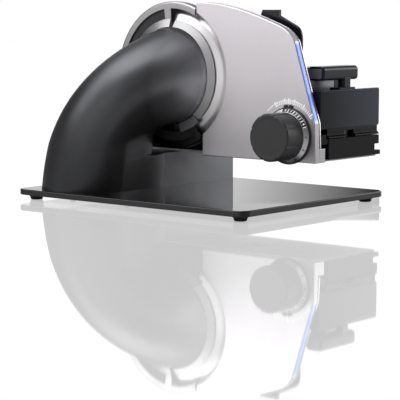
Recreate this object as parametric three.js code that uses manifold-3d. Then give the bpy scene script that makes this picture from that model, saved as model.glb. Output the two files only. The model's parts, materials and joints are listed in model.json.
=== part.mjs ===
// Electric food slicer with a trunk-shaped motor arm.
//
// The machine stands on a glass base plate. A hollow arm rises from a long foot at the far end of
// the plate, leans towards the operator and turns into a round mouth that carries the circular
// blade. A stop plate sets the slice thickness and carries the dial. A rail beam rests on the foot
// and carries the food carriage with its pusher.
//
// Millimetres, +Z up. +X is the food side, away from the slices, and +Y is away from the operator.
// Places are measured from the plate's corner on the slice side nearest the operator, at the
// surface that the feet stand on, and the machine group moves that corner to its place.

import * as THREE from "three";
import { mergeVertices } from "three/addons/utils/BufferGeometryUtils.js";
import Module from "manifold-3d";

const wasm = await Module();
wasm.setup();

// Clearances.
const FIT = 0.3; // between pieces that are fixed to each other
const RUN = 0.4; // between pieces that slide or turn

// Base plate and feet.
const BASE_WIDTH = 286;
const BASE_LENGTH = 371;
const BASE_THICK = 7.4;
const BASE_CORNER = 15;
const BASE_EDGE = 0.9;
const FOOT_HEIGHT = 6.4;
const FOOT_RADIUS = 9;
const FOOT_INSET = 19;
const DECK = FOOT_HEIGHT + BASE_THICK;

// Blade.
const BLADE_RADIUS = 85;
const GUARD_OVERHANG = 7; // how far the guard stands out past the cutting edge
const GUARD_OUTER = BLADE_RADIUS + GUARD_OVERHANG;
const GUARD_CLEARANCE = 6.4; // between the guard and the foot of the arm
const ARM_FOOT_HEIGHT = 45;
const AXIS_HEIGHT = ARM_FOOT_HEIGHT + GUARD_CLEARANCE + GUARD_OUTER;
const AXIS_SETBACK = 155.4; // from the far edge of the base
const AXIS_Y = BASE_LENGTH - AXIS_SETBACK;
const AXIS_Z = DECK + AXIS_HEIGHT;
const CUT_X = 137.3; // plane of the cutting edge
const BLADE_THICK = 2;
const BLADE_DISH = 7.1; // how far the middle lies behind the edge
const BLADE_RIM = 19; // from the cutting edge to where the cone of the rim starts
const BLADE_FLAT = BLADE_RADIUS - BLADE_RIM;
const BLADE_BORE = 10.4;
const BLADE_BACK = CUT_X - BLADE_DISH - BLADE_THICK;

// Motor arm.
const ARM_RADIUS = 59.5; // half the width of the trunk, and the radius of its mouth
const ARM_WALL = 4;
const ARM_FOOT_HALF = 58.6; // half the width of the foot
const ARM_FOOT_MARGIN = 10.9; // from the far flank of the foot to the edge of the base
const ARM_FOOT_Y = BASE_LENGTH - ARM_FOOT_MARGIN - ARM_FOOT_HALF;
const ARM_FOOT_END_MARGIN = 2;
const ARM_FOOT_END = BASE_WIDTH - ARM_FOOT_END_MARGIN;
const ARM_FOOT_DRAFT = 1;
const ARM_FOOT_ROUND = 7;
const FOOT_OVERLAP = 34; // how far the foot runs into the trunk
const ARM_HEEL_X = 3; // outermost point of the heel on the deck
const ARM_THROAT_X = 118.5; // inner side of the trunk, above the foot
const ARM_THROAT_DROP = 8; // below the mouth the inner side starts to bend to it
const ARM_THROAT_HEIGHT = AXIS_HEIGHT - ARM_RADIUS - ARM_THROAT_DROP;
const ARM_THROAT_SQUARE = 6; // how much squarer than an ellipse the inner side is at the foot
const HEEL_REACH = 37.5; // the trunk's sides run on along the foot this far past the throat
const HEEL_LEAN = 9; // and their ends lean back this much
const HEEL_DROP = 0.6; // the top of this part lies just under the foot's
const ARM_HEEL_PULL = [-6, -17.5, 93]; // the outer rail leaves the heel along this
const ARM_MOUTH_PULL = [109, -24, 36]; // and enters the mouth along this
const SPIGOT_LENGTH = 6;
const COLLAR_FACE = 120; // slice-side face of the collar round the mouth
const MOUTH_X = COLLAR_FACE - 1;
const SPIGOT_X = MOUTH_X + SPIGOT_LENGTH;

// Guard ring, collar and slice stripper.
const COLLAR_OUTER = 70.8;
const COLLAR_INNER = ARM_RADIUS + 0.6;
const FLANGE_THICK = 1.8;
const FLANGE_BORE = 30;
const GUARD_WALL = 5.4;
const GUARD_LIP = 9.5;
const GUARD_LIP_THICK = 5.5;
const GUARD_TOP = 112.6; // degrees from +Y towards +Z
const GUARD_END = -120.8;
const BRIDGE_START = 82;
const SLIT_START = 89.6;
const SLIT_END = 92.6;
const STRIPPER_END = 232;
const LUG_START = -114;
const COLLAR_END = -96;

// Drive inside the arm.
const SHAFT_RADIUS = 6;
const HUB_RADIUS = 26;
const HUB_LENGTH = 4.6;
const HEAD_PLATE_THICK = 3.4;
const HEAD_PLATE_SET = 2.4; // behind the end of the spigot
const POST_RADIUS = 3.5;
const POST_CIRCLE = 37;
const GEARBOX_DEPTH = 21.5; // between the head plate and the gear plate
const GEAR_PLATE_THICK = 3;
const GEAR_PLATE_RADIUS = 41.5;
const BEARING_RADIUS = 12;
const GEAR_MODULE = 1.3;
const GEAR_TEETH = 30;
const PINION_TEETH = 10;
const GEAR_WIDTH = 7;
const MOTOR_RADIUS = 22;
const MOTOR_LENGTH = 40;
const MOTOR_SHAFT_RADIUS = 2.5;
const MOTOR_ANGLE = -51.3;

// Stop plate. Its outline holds (Y, height above the deck) points.
const PLATE_THICK = 12;
const PLATE_LEAD = 0.2; // the food face stands this far past the cutting plane
const PLATE_BACK = CUT_X + PLATE_LEAD;
const PLATE_FRONT = PLATE_BACK - PLATE_THICK;
const PLATE_SKIN = 3;
const PLATE_RIM = 6.5;
const PLATE_EDGE = 1.2;
const PLATE_BOTTOM = 45.2;
const PLATE_FACE_THICK = 2.3;
const PLATE_FOOT_TOP = 62;
const PLATE_FOOT_REACH = 10;
const PLATE_LEFT = AXIS_Y - 49; // far edge, below the blade
const PLATE_TOP_LEFT = AXIS_Y - 39; // far edge, above the blade
const PLATE_BROW = 55.6; // how far from the far edge the top starts to fall
const PLATE_RISE = 6.1; // how far the plate stands up past the blade
const PLATE_TOP = AXIS_HEIGHT + BLADE_RADIUS + PLATE_RISE;
const BLADE_GAP = 1.6; // between the blade and the plate's round edge
const PLATE_SHOULDER = [33.9, 201]; // corner at the top of the operator's edge
const PLATE_SHOULDER_ROUND = 13;
const STRIP_TOP = [24.9, 188.5];
const STRIP_BOTTOM = [-5.9, 92];
const PLATE_FRONT_Y = -7;
const STRIP_WIDTH = 7;
const STRIP_THICK = 2.2;
const STRIP_BOARD_THICK = 1;

// Thickness dial and its spindle.
const KNOB_Y = 32.3;
const KNOB_HEIGHT = 76.2;
const KNOB_RADIUS = 28.5;
const KNOB_LENGTH = 31;
const KNOB_ROUND = 1.6;
const KNOB_ROOF = 4;
const KNOB_GRIPS = 8;
const KNOB_GRIP_RADIUS = 2.6;
const KNOB_GRIP_DEPTH = 1.3;
const KNOB_GRIP_ANGLE = 19; // degrees from +Y to the first flute
const INDEX_RADIUS = 34;
const INDEX_THICK = 2.2;
const INDEX_EAR = 3.6;
const SCALE_RADIUS = 32.3;
const SCALE_THICK = 5.2;
const BUSH_RADIUS = 9;
const CLIP_RADIUS = 13;
const CLIP_THICK = 1.4;
const SPINDLE_RADIUS = 5;
const SPINDLE_REACH = 27; // into the knob
const ROD_RADIUS = 4;
const ROD_LENGTH = 70;
const ROD_HEIGHT = 55.5;
const ROD_INSET = 20.6; // from the far edge of the stop plate
const ROD_PLACES = [14, PLATE_LEFT - ROD_INSET];

// Rail beam, its cover and the slide track. Heights are above the deck.
const RAIL_GAP = 19.5; // between the stop plate and the beam
const RAIL_INNER = PLATE_BACK + RAIL_GAP;
const RAIL_WIDTH = 105;
const RAIL_OUTER = RAIL_INNER + RAIL_WIDTH;
const RAIL_BOTTOM = 47.6;
const RAIL_HEIGHT = 24.4;
const RAIL_TOP = RAIL_BOTTOM + RAIL_HEIGHT;
const RAIL_WALL = 3;
const RAIL_GROOVE_DEPTH = 9;
const RAIL_GROOVE_HEIGHT = 8;
const RAIL_LEDGE = 3; // the bottom flange stands out this far past the top lip
const RAIL_FLANGE = 5.4;
const RAIL_FRONT = -4;
const RAIL_CAP = 6.5;
const RAIL_REAR_CAP = 4;
const RAIL_MARGIN = 14; // from the far end of the beam to the edge of the base
const RAIL_END = BASE_LENGTH - RAIL_MARGIN;
const TRACK_X = RAIL_INNER + 45;
const TRACK_HEAD = 18;
const TRACK_WEB = 8;
const TRACK_HEAD_THICK = 3.2;
const TRACK_HEIGHT = 8.2;
const RECESS_Y = 141;
const RECESS_LENGTH = 42;
const RECESS_WIDTH = 18;
const NOSE_REACH = 16;

// Carriage. Heights are above the deck.
const CARRIAGE_GAP = 1.2; // between the stop plate and the carriage
const CARRIAGE_INNER = PLATE_BACK + CARRIAGE_GAP;
const CARRIAGE_OUTER = RAIL_OUTER;
const CARRIAGE_FLOOR = 84;
const CARRIAGE_FLOOR_THICK = 4;
const CARRIAGE_LENGTH = 190;
const CARRIAGE_WALL_TOP = 130;
const CARRIAGE_WALL_THICK = 5;
const CARRIAGE_LIP = 9;
const APRON_SET = 2.8; // the apron below the wall lies back this far under it
const APRON_EDGE = 1.2; // upright edge along the bottom of the apron
const APRON_SLOPE = 4.6; // height of the slope above that edge
const SHOE_WALL = 4.5;
const SHOE_LENGTH = 150;
const GLIDE_WIDTH = 22;
const GUIDE_TOP = 129;
const GUIDE_DEPTH = 12;
const GUIDE_HEIGHT = 13;

// Pusher.
const PUSHER_GAP = 10.5; // between the stop plate and the pusher
const PUSHER_FACE = PLATE_BACK + PUSHER_GAP;
const PUSHER_THICK = 4;
const PUSHER_FRONT_Y = 31;
const PUSHER_BACK_Y = 150;
const PUSHER_TAB = [64, 91];
const PUSHER_TAB_TOP = 225;
const PUSHER_SHOULDER = [39, 206];
const PUSHER_BACK_TOP = 214;
const PUSHER_RIB = 2;
const PUSHER_RIBS = 6;
const HANDLE_END = CARRIAGE_OUTER - 37;
const HANDLE_BOTTOM = 141;
const HANDLE_HEIGHT = 17;
const HANDLE_FRONT = 2;
const HANDLE_DEPTH = 24;
const HANDLE_START = PUSHER_FACE + 6;
const BRIDGE_Y = 29; // operator side of the bridge that joins the handle to the plate
const BRIDGE_DEPTH = 34;
const BRIDGE_END = PUSHER_FACE + 54;
const BRIDGE_NECK = 16;
const SKIRT_DROP = 22; // the panel below the bridge
const SKIRT_THICK = 4;
const SKIRT_END = PUSHER_FACE + 71;
const STEM_X = PUSHER_FACE + 55;
const STEM_WIDTH = 16;
const SADDLE_THICK = 3;

// Switch and cord inlet in the far flank of the foot.
const SWITCH_X = 150;
const INLET_X = ARM_FOOT_END - 58;
const FLANK_HEIGHT = 23;
const BUTTON_RADIUS = 8;
const BUTTON_STAND = 4;
const SWITCH_SIZE = 24;
const PIN_SPACING = 7;
const PIN_LENGTH = 8;
const BEZEL_WALL = 3;
const BEZEL_THICK = 2.5;
const INLET_BORE = 4;
const INLET_WALL = 2.4;
const INLET_FLANGE = 10;

// Power board under the roof of the foot.
const BOARD_X = 160;
const BOARD_WIDTH = 50;
const BOARD_DEPTH = 38;
const BOARD_DROP = 8;
const BOARD_THICK = 1.6;
const CHOKE_SIZE = 17;

// Fasteners.
const SCREW_RADIUS = 2.2;
const SCREW_HEAD = 4.4;
const SCREW_HEAD_THICK = 2.6;
const BOSS_RADIUS = 6;
const BOSS_HEIGHT = 22;

const MACHINE_FRONT = -PLATE_FRONT_Y; // the plate stands this far past the base's edge
const ROUND = 36; // facets of a large circle
const MIDDLE = 16; // facets of a middling one
const FINE = 12; // facets of a small one
const TINY = 8; // facets of a screw
const rad = THREE.MathUtils.degToRad;

// Solids: closed meshes that can be joined and cut.

function solidOf(geometry) {
  const bare = geometry.clone();
  bare.deleteAttribute("normal");
  bare.deleteAttribute("uv");
  const merged = mergeVertices(bare, 1e-4);
  const position = merged.getAttribute("position");
  const faces = [];
  const corner = [0, 1, 2].map(() => new THREE.Vector3());
  let volume = 0;
  for (let i = 0; i < merged.index.count; i += 3) {
    const [a, b, c] = merged.index.array.subarray(i, i + 3);
    if (a === b || b === c || c === a) continue;
    [a, b, c].forEach((vertex, k) => corner[k].fromBufferAttribute(position, vertex));
    volume += corner[0].dot(corner[1].clone().cross(corner[2]));
    faces.push([a, b, c]);
  }
  if (volume < 0) faces.forEach((face) => face.reverse());
  const mesh = new wasm.Mesh({
    numProp: 3,
    vertProperties: new Float32Array(position.array),
    triVerts: new Uint32Array(faces.flat()),
  });
  return new wasm.Manifold(mesh);
}

function geometryOf(solid) {
  const mesh = solid.getMesh();
  const geometry = new THREE.BufferGeometry();
  geometry.setAttribute("position", new THREE.BufferAttribute(mesh.vertProperties, 3));
  geometry.setIndex(new THREE.BufferAttribute(mesh.triVerts, 1));
  geometry.computeVertexNormals();
  return geometry;
}

function join(first, ...others) {
  return others.reduce((whole, solid) => whole.add(solid), first);
}

function cut(first, ...others) {
  return others.reduce((whole, solid) => whole.subtract(solid), first);
}

// Primitive solids, named for the axis that they run along.

function box(x0, x1, y0, y1, z0, z1) {
  const geometry = new THREE.BoxGeometry(x1 - x0, y1 - y0, z1 - z0);
  geometry.translate((x0 + x1) / 2, (y0 + y1) / 2, (z0 + z1) / 2);
  return solidOf(geometry);
}

const ALONG_X = new THREE.Matrix4().makeBasis(
  new THREE.Vector3(0, 1, 0),
  new THREE.Vector3(0, 0, 1),
  new THREE.Vector3(1, 0, 0),
);
const ALONG_Y = new THREE.Matrix4().makeBasis(
  new THREE.Vector3(0, 0, 1),
  new THREE.Vector3(1, 0, 0),
  new THREE.Vector3(0, 1, 0),
);
const ALONG_Z = new THREE.Matrix4();

// A flat shape pulled from one place to another along an axis, with its edges bevelled if asked.
// The shape's two axes are Y and Z along X, Z and X along Y, and X and Y along Z.
function prism(axis, shape, from, to, bevel = 0, facets = 12) {
  const geometry = new THREE.ExtrudeGeometry(shape, {
    depth: to - from - 2 * bevel,
    bevelEnabled: bevel > 0,
    bevelThickness: bevel,
    bevelSize: bevel,
    bevelOffset: -bevel,
    bevelSegments: 1,
    curveSegments: facets,
  });
  geometry.translate(0, 0, from + bevel);
  geometry.applyMatrix4(axis);
  return solidOf(geometry);
}

// A profile of [radius, place] points turned round an axis.
function turned(axis, profile, facets = ROUND) {
  const points = profile.map(([radius, place]) => new THREE.Vector2(radius, place));
  const geometry = new THREE.LatheGeometry(points, facets);
  geometry.rotateX(Math.PI / 2);
  geometry.applyMatrix4(axis);
  return solidOf(geometry);
}

function rod(axis, radius, from, to, facets = FINE) {
  const profile = [[0, from], [radius, from], [radius, to], [0, to]];
  return turned(axis, profile, facets);
}

function ring(axis, inner, outer, from, to, facets = ROUND) {
  const profile = [[inner, from], [outer, from], [outer, to], [inner, to], [inner, from]];
  return turned(axis, profile, facets);
}

function polygon(points) {
  return new THREE.Shape(points.map(([u, v]) => new THREE.Vector2(u, v)));
}

function roundedRectangle(u0, u1, v0, v1, radius) {
  const shape = new THREE.Shape();
  shape.absarc(u1 - radius, v0 + radius, radius, -Math.PI / 2, 0);
  shape.absarc(u1 - radius, v1 - radius, radius, 0, Math.PI / 2);
  shape.absarc(u0 + radius, v1 - radius, radius, Math.PI / 2, Math.PI);
  shape.absarc(u0 + radius, v0 + radius, radius, Math.PI, Math.PI * 1.5);
  shape.closePath();
  return shape;
}

// Part of a ring between two angles in degrees, measured from the shape's first axis.
function ringSector(inner, outer, from, to) {
  const shape = new THREE.Shape();
  shape.absarc(0, 0, outer, rad(from), rad(to), false);
  shape.absarc(0, 0, inner, rad(to), rad(from), true);
  shape.closePath();
  return shape;
}

// Sides of an outline moved inwards by a distance, for outlines that run anticlockwise.
function inset(points, distance) {
  const sides = points.map(([u, v], i) => {
    const [nextU, nextV] = points[(i + 1) % points.length];
    const length = Math.hypot(nextU - u, nextV - v);
    const along = [(nextU - u) / length, (nextV - v) / length];
    return { start: [u - along[1] * distance, v + along[0] * distance], along };
  });
  return sides.map((side, i) => {
    const before = sides[(i + sides.length - 1) % sides.length];
    const cross = before.along[0] * side.along[1] - before.along[1] * side.along[0];
    if (Math.abs(cross) < 1e-6) return side.start;
    const gapU = side.start[0] - before.start[0];
    const gapV = side.start[1] - before.start[1];
    const t = (gapU * side.along[1] - gapV * side.along[0]) / cross;
    return [before.start[0] + before.along[0] * t, before.start[1] + before.along[1] * t];
  });
}

// A skin over rings of points, each with as many points as the next, with a fan at each end.
function loft(rings) {
  const size = rings[0].length;
  const middles = [rings[0], rings[rings.length - 1]].map((points) => {
    const sum = points.reduce((total, point) => total.add(point), new THREE.Vector3());
    return sum.divideScalar(size);
  });
  const vertices = [...rings.flat(), ...middles];
  const last = (rings.length - 1) * size;
  const faces = [];
  for (let k = 0; k < size; k += 1) {
    const next = (k + 1) % size;
    for (let base = 0; base < last; base += size) {
      faces.push(base + k, base + next, base + size + next);
      faces.push(base + k, base + size + next, base + size + k);
    }
    faces.push(vertices.length - 2, next, k);
    faces.push(vertices.length - 1, last + k, last + next);
  }
  const geometry = new THREE.BufferGeometry().setFromPoints(vertices);
  geometry.setIndex(faces);
  return solidOf(geometry);
}

// Materials.

function finish(color, roughness, metalness) {
  return () => new THREE.MeshStandardMaterial({ color, roughness, metalness });
}
const blackGlass = finish(0x101013, 0.06, 0);
const charcoal = finish(0x3a3b3f, 0.38, 0.1);
const silver = finish(0xc9c5c8, 0.38, 0.85);
const castMetal = finish(0xb4b1b2, 0.34, 0.9);
const steel = finish(0xd8d6d6, 0.16, 1);
const darkPlastic = finish(0x232326, 0.5, 0);
const glossBlack = finish(0x15161a, 0.16, 0);
const aluminium = finish(0xbfc0c4, 0.4, 0.9);
const brass = finish(0xb08d4f, 0.35, 0.9);
const nylon = finish(0xd9d6cc, 0.6, 0);
const boardGreen = finish(0x1f5a3a, 0.55, 0);
const blueLight = finish(0x4a6fe0, 0.25, 0);
const rubber = finish(0x1c1c1d, 0.8, 0);
const paleCover = finish(0xc4c4c6, 0.55, 0);

const slicer = new THREE.Group();
const machine = new THREE.Group();
machine.position.set(-BASE_WIDTH / 2, -(BASE_LENGTH - MACHINE_FRONT) / 2, 0);
slicer.add(machine);

const bladeAxis = new THREE.Group();
bladeAxis.position.set(0, AXIS_Y, AXIS_Z);
machine.add(bladeAxis);

const knobAxis = new THREE.Group();
knobAxis.position.set(0, KNOB_Y, DECK + KNOB_HEIGHT);
machine.add(knobAxis);

function piece(parent, name, material, solid) {
  const mesh = new THREE.Mesh(geometryOf(solid), material());
  mesh.name = name;
  parent.add(mesh);
}

// Base plate, with clearance holes for the screws that hold the arm.

// Places of the four base screws: two columns, each with one screw near either flank.
const SCREW_SIDE = ARM_FOOT_HALF - ARM_WALL - BOSS_RADIUS + 1.5;
const SCREW_PLACES = [
  [80, ARM_FOOT_Y - SCREW_SIDE],
  [80, ARM_FOOT_Y + SCREW_SIDE - 3.3],
  [ARM_FOOT_END - 38, ARM_FOOT_Y - SCREW_SIDE],
  [ARM_FOOT_END - 38, ARM_FOOT_Y + SCREW_SIDE],
];

function basePlate() {
  const outline = roundedRectangle(0, BASE_WIDTH, 0, BASE_LENGTH, BASE_CORNER);
  const slab = prism(ALONG_Z, outline, FOOT_HEIGHT, DECK, BASE_EDGE, 3);
  const holes = SCREW_PLACES.map(([x, y]) =>
    rod(ALONG_Z, SCREW_RADIUS + FIT, 0, DECK + 1, TINY).translate([x, y, 0]),
  );
  return cut(slab, ...holes);
}

function foot() {
  const waist = FOOT_RADIUS - 1.2;
  const rim = FOOT_HEIGHT * 0.55;
  const profile = [
    [0, 0],
    [waist - 0.8, 0],
    [waist, 0.8],
    [waist, rim],
    [FOOT_RADIUS, rim],
    [FOOT_RADIUS, FOOT_HEIGHT],
    [0, FOOT_HEIGHT],
  ];
  return turned(ALONG_Z, profile, FINE);
}

piece(machine, "base_plate", blackGlass, basePlate());
[FOOT_INSET, BASE_WIDTH - FOOT_INSET].forEach((x, column) => {
  [FOOT_INSET, BASE_LENGTH - FOOT_INSET].forEach((y, row) => {
    piece(machine, `foot_${column * 2 + row + 1}`, rubber, foot().translate([x, y, 0]));
  });
});

// Motor arm: a trunk lofted between an outer and an inner rail, joined to its long foot.

const armMouth = new THREE.Vector3(MOUTH_X, AXIS_Y, AXIS_Z + ARM_RADIUS);
const armHeel = new THREE.Vector3(ARM_HEEL_X, ARM_FOOT_Y, DECK);
const outerRail = new THREE.CubicBezierCurve3(
  armHeel,
  armHeel.clone().add(new THREE.Vector3(...ARM_HEEL_PULL)),
  armMouth.clone().sub(new THREE.Vector3(...ARM_MOUTH_PULL)),
  armMouth,
);
const THROAT_SHARE = 0.2; // share of the rails that runs straight up at the inner side
const HEEL_SHARE = (THROAT_SHARE * (ARM_FOOT_HEIGHT - HEEL_DROP)) / ARM_THROAT_HEIGHT;
const LEDGE_SHARE = HEEL_SHARE + 0.006;
const TRUNK_STEPS = 18;
const INNER_STEPS = 12;
const INNER_FACETS = 24;

function innerRail(t) {
  if (t < THROAT_SHARE) {
    return [ARM_THROAT_X, DECK + (ARM_THROAT_HEIGHT * t) / THROAT_SHARE];
  }
  const turn = ((t - THROAT_SHARE) / (1 - THROAT_SHARE)) * (Math.PI / 2);
  const rise = AXIS_Z - ARM_RADIUS - DECK - ARM_THROAT_HEIGHT;
  return [
    MOUTH_X - (MOUTH_X - ARM_THROAT_X) * Math.cos(turn),
    DECK + ARM_THROAT_HEIGHT + rise * Math.sin(turn),
  ];
}

// One ring of the trunk: half an ellipse outside, and a squarer half on the inner side that
// becomes round at the mouth. Down at the foot the inner half reaches on along the foot.
function trunkRing(t, thinner, facets, heel = 0) {
  const outer = outerRail.getPoint(t);
  const [innerX, innerZ] = innerRail(t);
  const reach = new THREE.Vector2(outer.x - innerX, outer.z - innerZ).divideScalar(2);
  const slim = 1 - thinner / reach.length();
  const points = [];
  for (let k = 0; k < facets; k += 1) {
    const angle = (k / facets) * 2 * Math.PI;
    const power = Math.cos(angle) > 0 ? 2 : 2 + ARM_THROAT_SQUARE * (1 - t);
    const bulge = (value) => Math.sign(value) * Math.abs(value) ** (2 / power);
    const across = bulge(Math.cos(angle)) * slim;
    const side = bulge(Math.sin(angle)) * (ARM_RADIUS - thinner);
    const onward = heel * Math.max(0, -across);
    points.push(
      new THREE.Vector3(
        (outer.x + innerX) / 2 + reach.x * across + onward,
        outer.y + side,
        (outer.z + innerZ) / 2 + reach.y * across,
      ),
    );
  }
  return points;
}

// The trunk from the deck to its mouth, and straight on from there to a given end.
function trunk(thinner, steps, facets, end) {
  const rings = [];
  for (let step = 0; step <= steps; step += 1) {
    rings.push(trunkRing(step / steps, thinner, facets));
  }
  rings.push(trunkRing(1, thinner, facets).map((point) => point.setX(end)));
  return loft(rings);
}

// The outside of the trunk, with its heel along the foot and the ledge on top of the heel.
function trunkOutside() {
  const rings = [0, 0.5, 1].map((part) =>
    trunkRing(HEEL_SHARE * part, 0, ROUND, HEEL_REACH - HEEL_LEAN * part),
  );
  rings.push(trunkRing(LEDGE_SHARE, 0, ROUND));
  for (let step = 0; step <= TRUNK_STEPS; step += 1) {
    const t = step / TRUNK_STEPS;
    if (t > LEDGE_SHARE + 0.02) rings.push(trunkRing(t, 0, ROUND));
  }
  rings.push(trunkRing(1, 0, ROUND).map((point) => point.setX(SPIGOT_X)));
  return loft(rings);
}

// The long foot behind the trunk, narrowing a little towards its top.
function footBlock(thinner, top, facets) {
  const levels = [
    [0, 0],
    [top - 1.5, ARM_FOOT_DRAFT],
    [top, ARM_FOOT_DRAFT + 1.5],
  ];
  const rings = levels.map(([height, lean]) => {
    const half = ARM_FOOT_HALF - thinner - lean;
    const outline = roundedRectangle(
      ARM_THROAT_X - FOOT_OVERLAP + height / 2 + thinner,
      ARM_FOOT_END - thinner - lean,
      ARM_FOOT_Y - half,
      ARM_FOOT_Y + half,
      ARM_FOOT_ROUND,
    );
    const points = outline.getPoints(facets).slice(0, -1);
    return points.map((point) => new THREE.Vector3(point.x, point.y, DECK + height));
  });
  return loft(rings);
}

const flankZ = DECK + FLANK_HEIGHT;
const flankHole = (radius, x) =>
  rod(ALONG_Y, radius, ARM_FOOT_Y, ARM_FOOT_Y + 2 * ARM_RADIUS, MIDDLE).translate([x, 0, flankZ]);

const RAIL_SCREW_INSET = 21;
const RAIL_SCREW_BACK = 26; // the far screw is set in more, clear of the groove
const RAIL_SCREW_SPREAD = 30;
const RAIL_SCREW_PLACES = [
  [RAIL_INNER + RAIL_SCREW_INSET, ARM_FOOT_Y - RAIL_SCREW_SPREAD],
  [RAIL_OUTER - RAIL_SCREW_BACK, ARM_FOOT_Y + RAIL_SCREW_SPREAD],
];
const BOARD_Y = ARM_FOOT_Y - 24;
const FOOT_ROOF = ARM_FOOT_HEIGHT - ARM_WALL;

function armHousing() {
  const outside = trunkOutside();
  const inside = trunk(ARM_WALL, INNER_STEPS, INNER_FACETS, SPIGOT_X + 1);
  const skin = join(outside, footBlock(0, ARM_FOOT_HEIGHT, 3));
  const cavity = join(inside, footBlock(ARM_WALL, FOOT_ROOF, 1));
  const underside = box(0, BASE_WIDTH, 0, BASE_LENGTH, DECK - 5, DECK);
  const bosses = SCREW_PLACES.map(([x, y]) =>
    rod(ALONG_Z, BOSS_RADIUS, DECK, DECK + BOSS_HEIGHT).translate([x, y, 0]),
  );
  const posts = [BOARD_X + 5, BOARD_X + BOARD_WIDTH - 5].flatMap((x) =>
    [BOARD_Y + 5, BOARD_Y + BOARD_DEPTH - 5].map((y) =>
      rod(ALONG_Z, 3, DECK + FOOT_ROOF - BOARD_DROP, DECK + FOOT_ROOF + 1, TINY).translate([x, y, 0]),
    ),
  );
  const threads = SCREW_PLACES.map(([x, y]) =>
    rod(ALONG_Z, SCREW_RADIUS + FIT, DECK - 1, DECK + BOSS_HEIGHT - 3, TINY).translate([x, y, 0]),
  );
  const railHoles = RAIL_SCREW_PLACES.map(([x, y]) =>
    rod(ALONG_Z, SCREW_RADIUS + FIT, DECK, DECK + ARM_FOOT_HEIGHT + 1, TINY).translate([x, y, 0]),
  );
  const shell = cut(skin, cavity, underside);
  const fitted = cut(join(shell, ...bosses, ...posts), ...threads, ...railHoles);
  return cut(
    fitted,
    flankHole(BUTTON_RADIUS + RUN + BEZEL_WALL / 2, SWITCH_X),
    flankHole(INLET_BORE + INLET_WALL + FIT, INLET_X),
  );
}

piece(machine, "arm_housing", charcoal, armHousing());

// Screws, drawn head down at the origin.
function screw(length) {
  const profile = [
    [0, -SCREW_HEAD_THICK],
    [SCREW_HEAD * 0.75, -SCREW_HEAD_THICK],
    [SCREW_HEAD, -SCREW_HEAD_THICK * 0.5],
    [SCREW_HEAD, 0],
    [SCREW_RADIUS, 0],
    [SCREW_RADIUS, length],
    [0, length],
  ];
  return turned(ALONG_Z, profile, TINY);
}

SCREW_PLACES.forEach(([x, y], i) => {
  const length = BASE_THICK + BOSS_HEIGHT - 6;
  piece(machine, `base_screw_${i + 1}`, steel, screw(length).translate([x, y, FOOT_HEIGHT]));
});
RAIL_SCREW_PLACES.forEach(([x, y], i) => {
  const length = ARM_WALL + RAIL_BOTTOM - ARM_FOOT_HEIGHT + 12;
  piece(machine, `rail_screw_${i + 1}`, steel, screw(length).translate([x, y, DECK + FOOT_ROOF]));
});

// Guard ring: collar and flange round the mouth, a bridge at the top and a lug at the bottom, and
// the rim that covers the edge of the blade.

const FLANGE_X = SPIGOT_X + FIT;

function guardRing() {
  const rimInner = GUARD_OUTER - GUARD_LIP;
  const lip = prism(
    ALONG_X,
    ringSector(rimInner, GUARD_OUTER, GUARD_END, GUARD_TOP),
    COLLAR_FACE + 0.5,
    COLLAR_FACE + 0.5 + GUARD_LIP_THICK,
    0.7,
    14,
  );
  const wall = prism(
    ALONG_X,
    ringSector(GUARD_OUTER - GUARD_WALL, GUARD_OUTER, GUARD_END, GUARD_TOP),
    COLLAR_FACE + GUARD_LIP_THICK - 1,
    CUT_X - 0.3,
    0,
    14,
  );
  const collar = prism(
    ALONG_X,
    ringSector(COLLAR_INNER, COLLAR_OUTER, COLLAR_END, SLIT_START),
    COLLAR_FACE,
    FLANGE_X + 0.5,
    0.6,
    10,
  );
  const flange = ring(ALONG_X, FLANGE_BORE, COLLAR_OUTER - 0.6, FLANGE_X, FLANGE_X + FLANGE_THICK);
  const arms = [
    [BRIDGE_START, SLIT_START],
    [GUARD_END, LUG_START],
  ].map(([from, to]) =>
    prism(
      ALONG_X,
      ringSector(COLLAR_INNER + 4, GUARD_OUTER - GUARD_WALL / 2, from, to),
      COLLAR_FACE + 1,
      FLANGE_X + 0.5,
      0.5,
      2,
    ),
  );
  return join(flange, collar, lip, wall, ...arms);
}

function sliceStripper() {
  return prism(
    ALONG_X,
    ringSector(COLLAR_INNER, COLLAR_OUTER, SLIT_END, STRIPPER_END),
    COLLAR_FACE - 0.4,
    FLANGE_X - FIT,
    0.8,
    9,
  );
}

piece(bladeAxis, "guard_ring", castMetal, guardRing());
piece(bladeAxis, "slice_stripper", castMetal, sliceStripper());

// Blade with its dished middle and conical rim, and the hub that drives it.

const BLADE_SCREWS = [90, 210, 330];
const BLADE_SCREW_CIRCLE = 18;

function around(circle, degrees) {
  return [0, circle * Math.cos(rad(degrees)), circle * Math.sin(rad(degrees))];
}

function blade() {
  const face = BLADE_BACK + BLADE_THICK;
  const profile = [
    [BLADE_BORE, BLADE_BACK],
    [BLADE_FLAT, BLADE_BACK],
    [BLADE_RADIUS - 8, CUT_X - 5.4],
    [BLADE_RADIUS, CUT_X - 0.3],
    [BLADE_RADIUS, CUT_X],
    [BLADE_RADIUS - 3, CUT_X],
    [BLADE_RADIUS - 9, CUT_X - 2.6],
    [BLADE_FLAT, face],
    [BLADE_BORE, face],
    [BLADE_BORE, BLADE_BACK],
  ];
  const holes = BLADE_SCREWS.map((degrees) =>
    rod(ALONG_X, SCREW_RADIUS + FIT, BLADE_BACK - 1, face + 1, TINY).translate(
      around(BLADE_SCREW_CIRCLE, degrees),
    ),
  );
  return cut(turned(ALONG_X, profile, 48), ...holes);
}

const HUB_X = BLADE_BACK - FIT - HUB_LENGTH;

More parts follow.
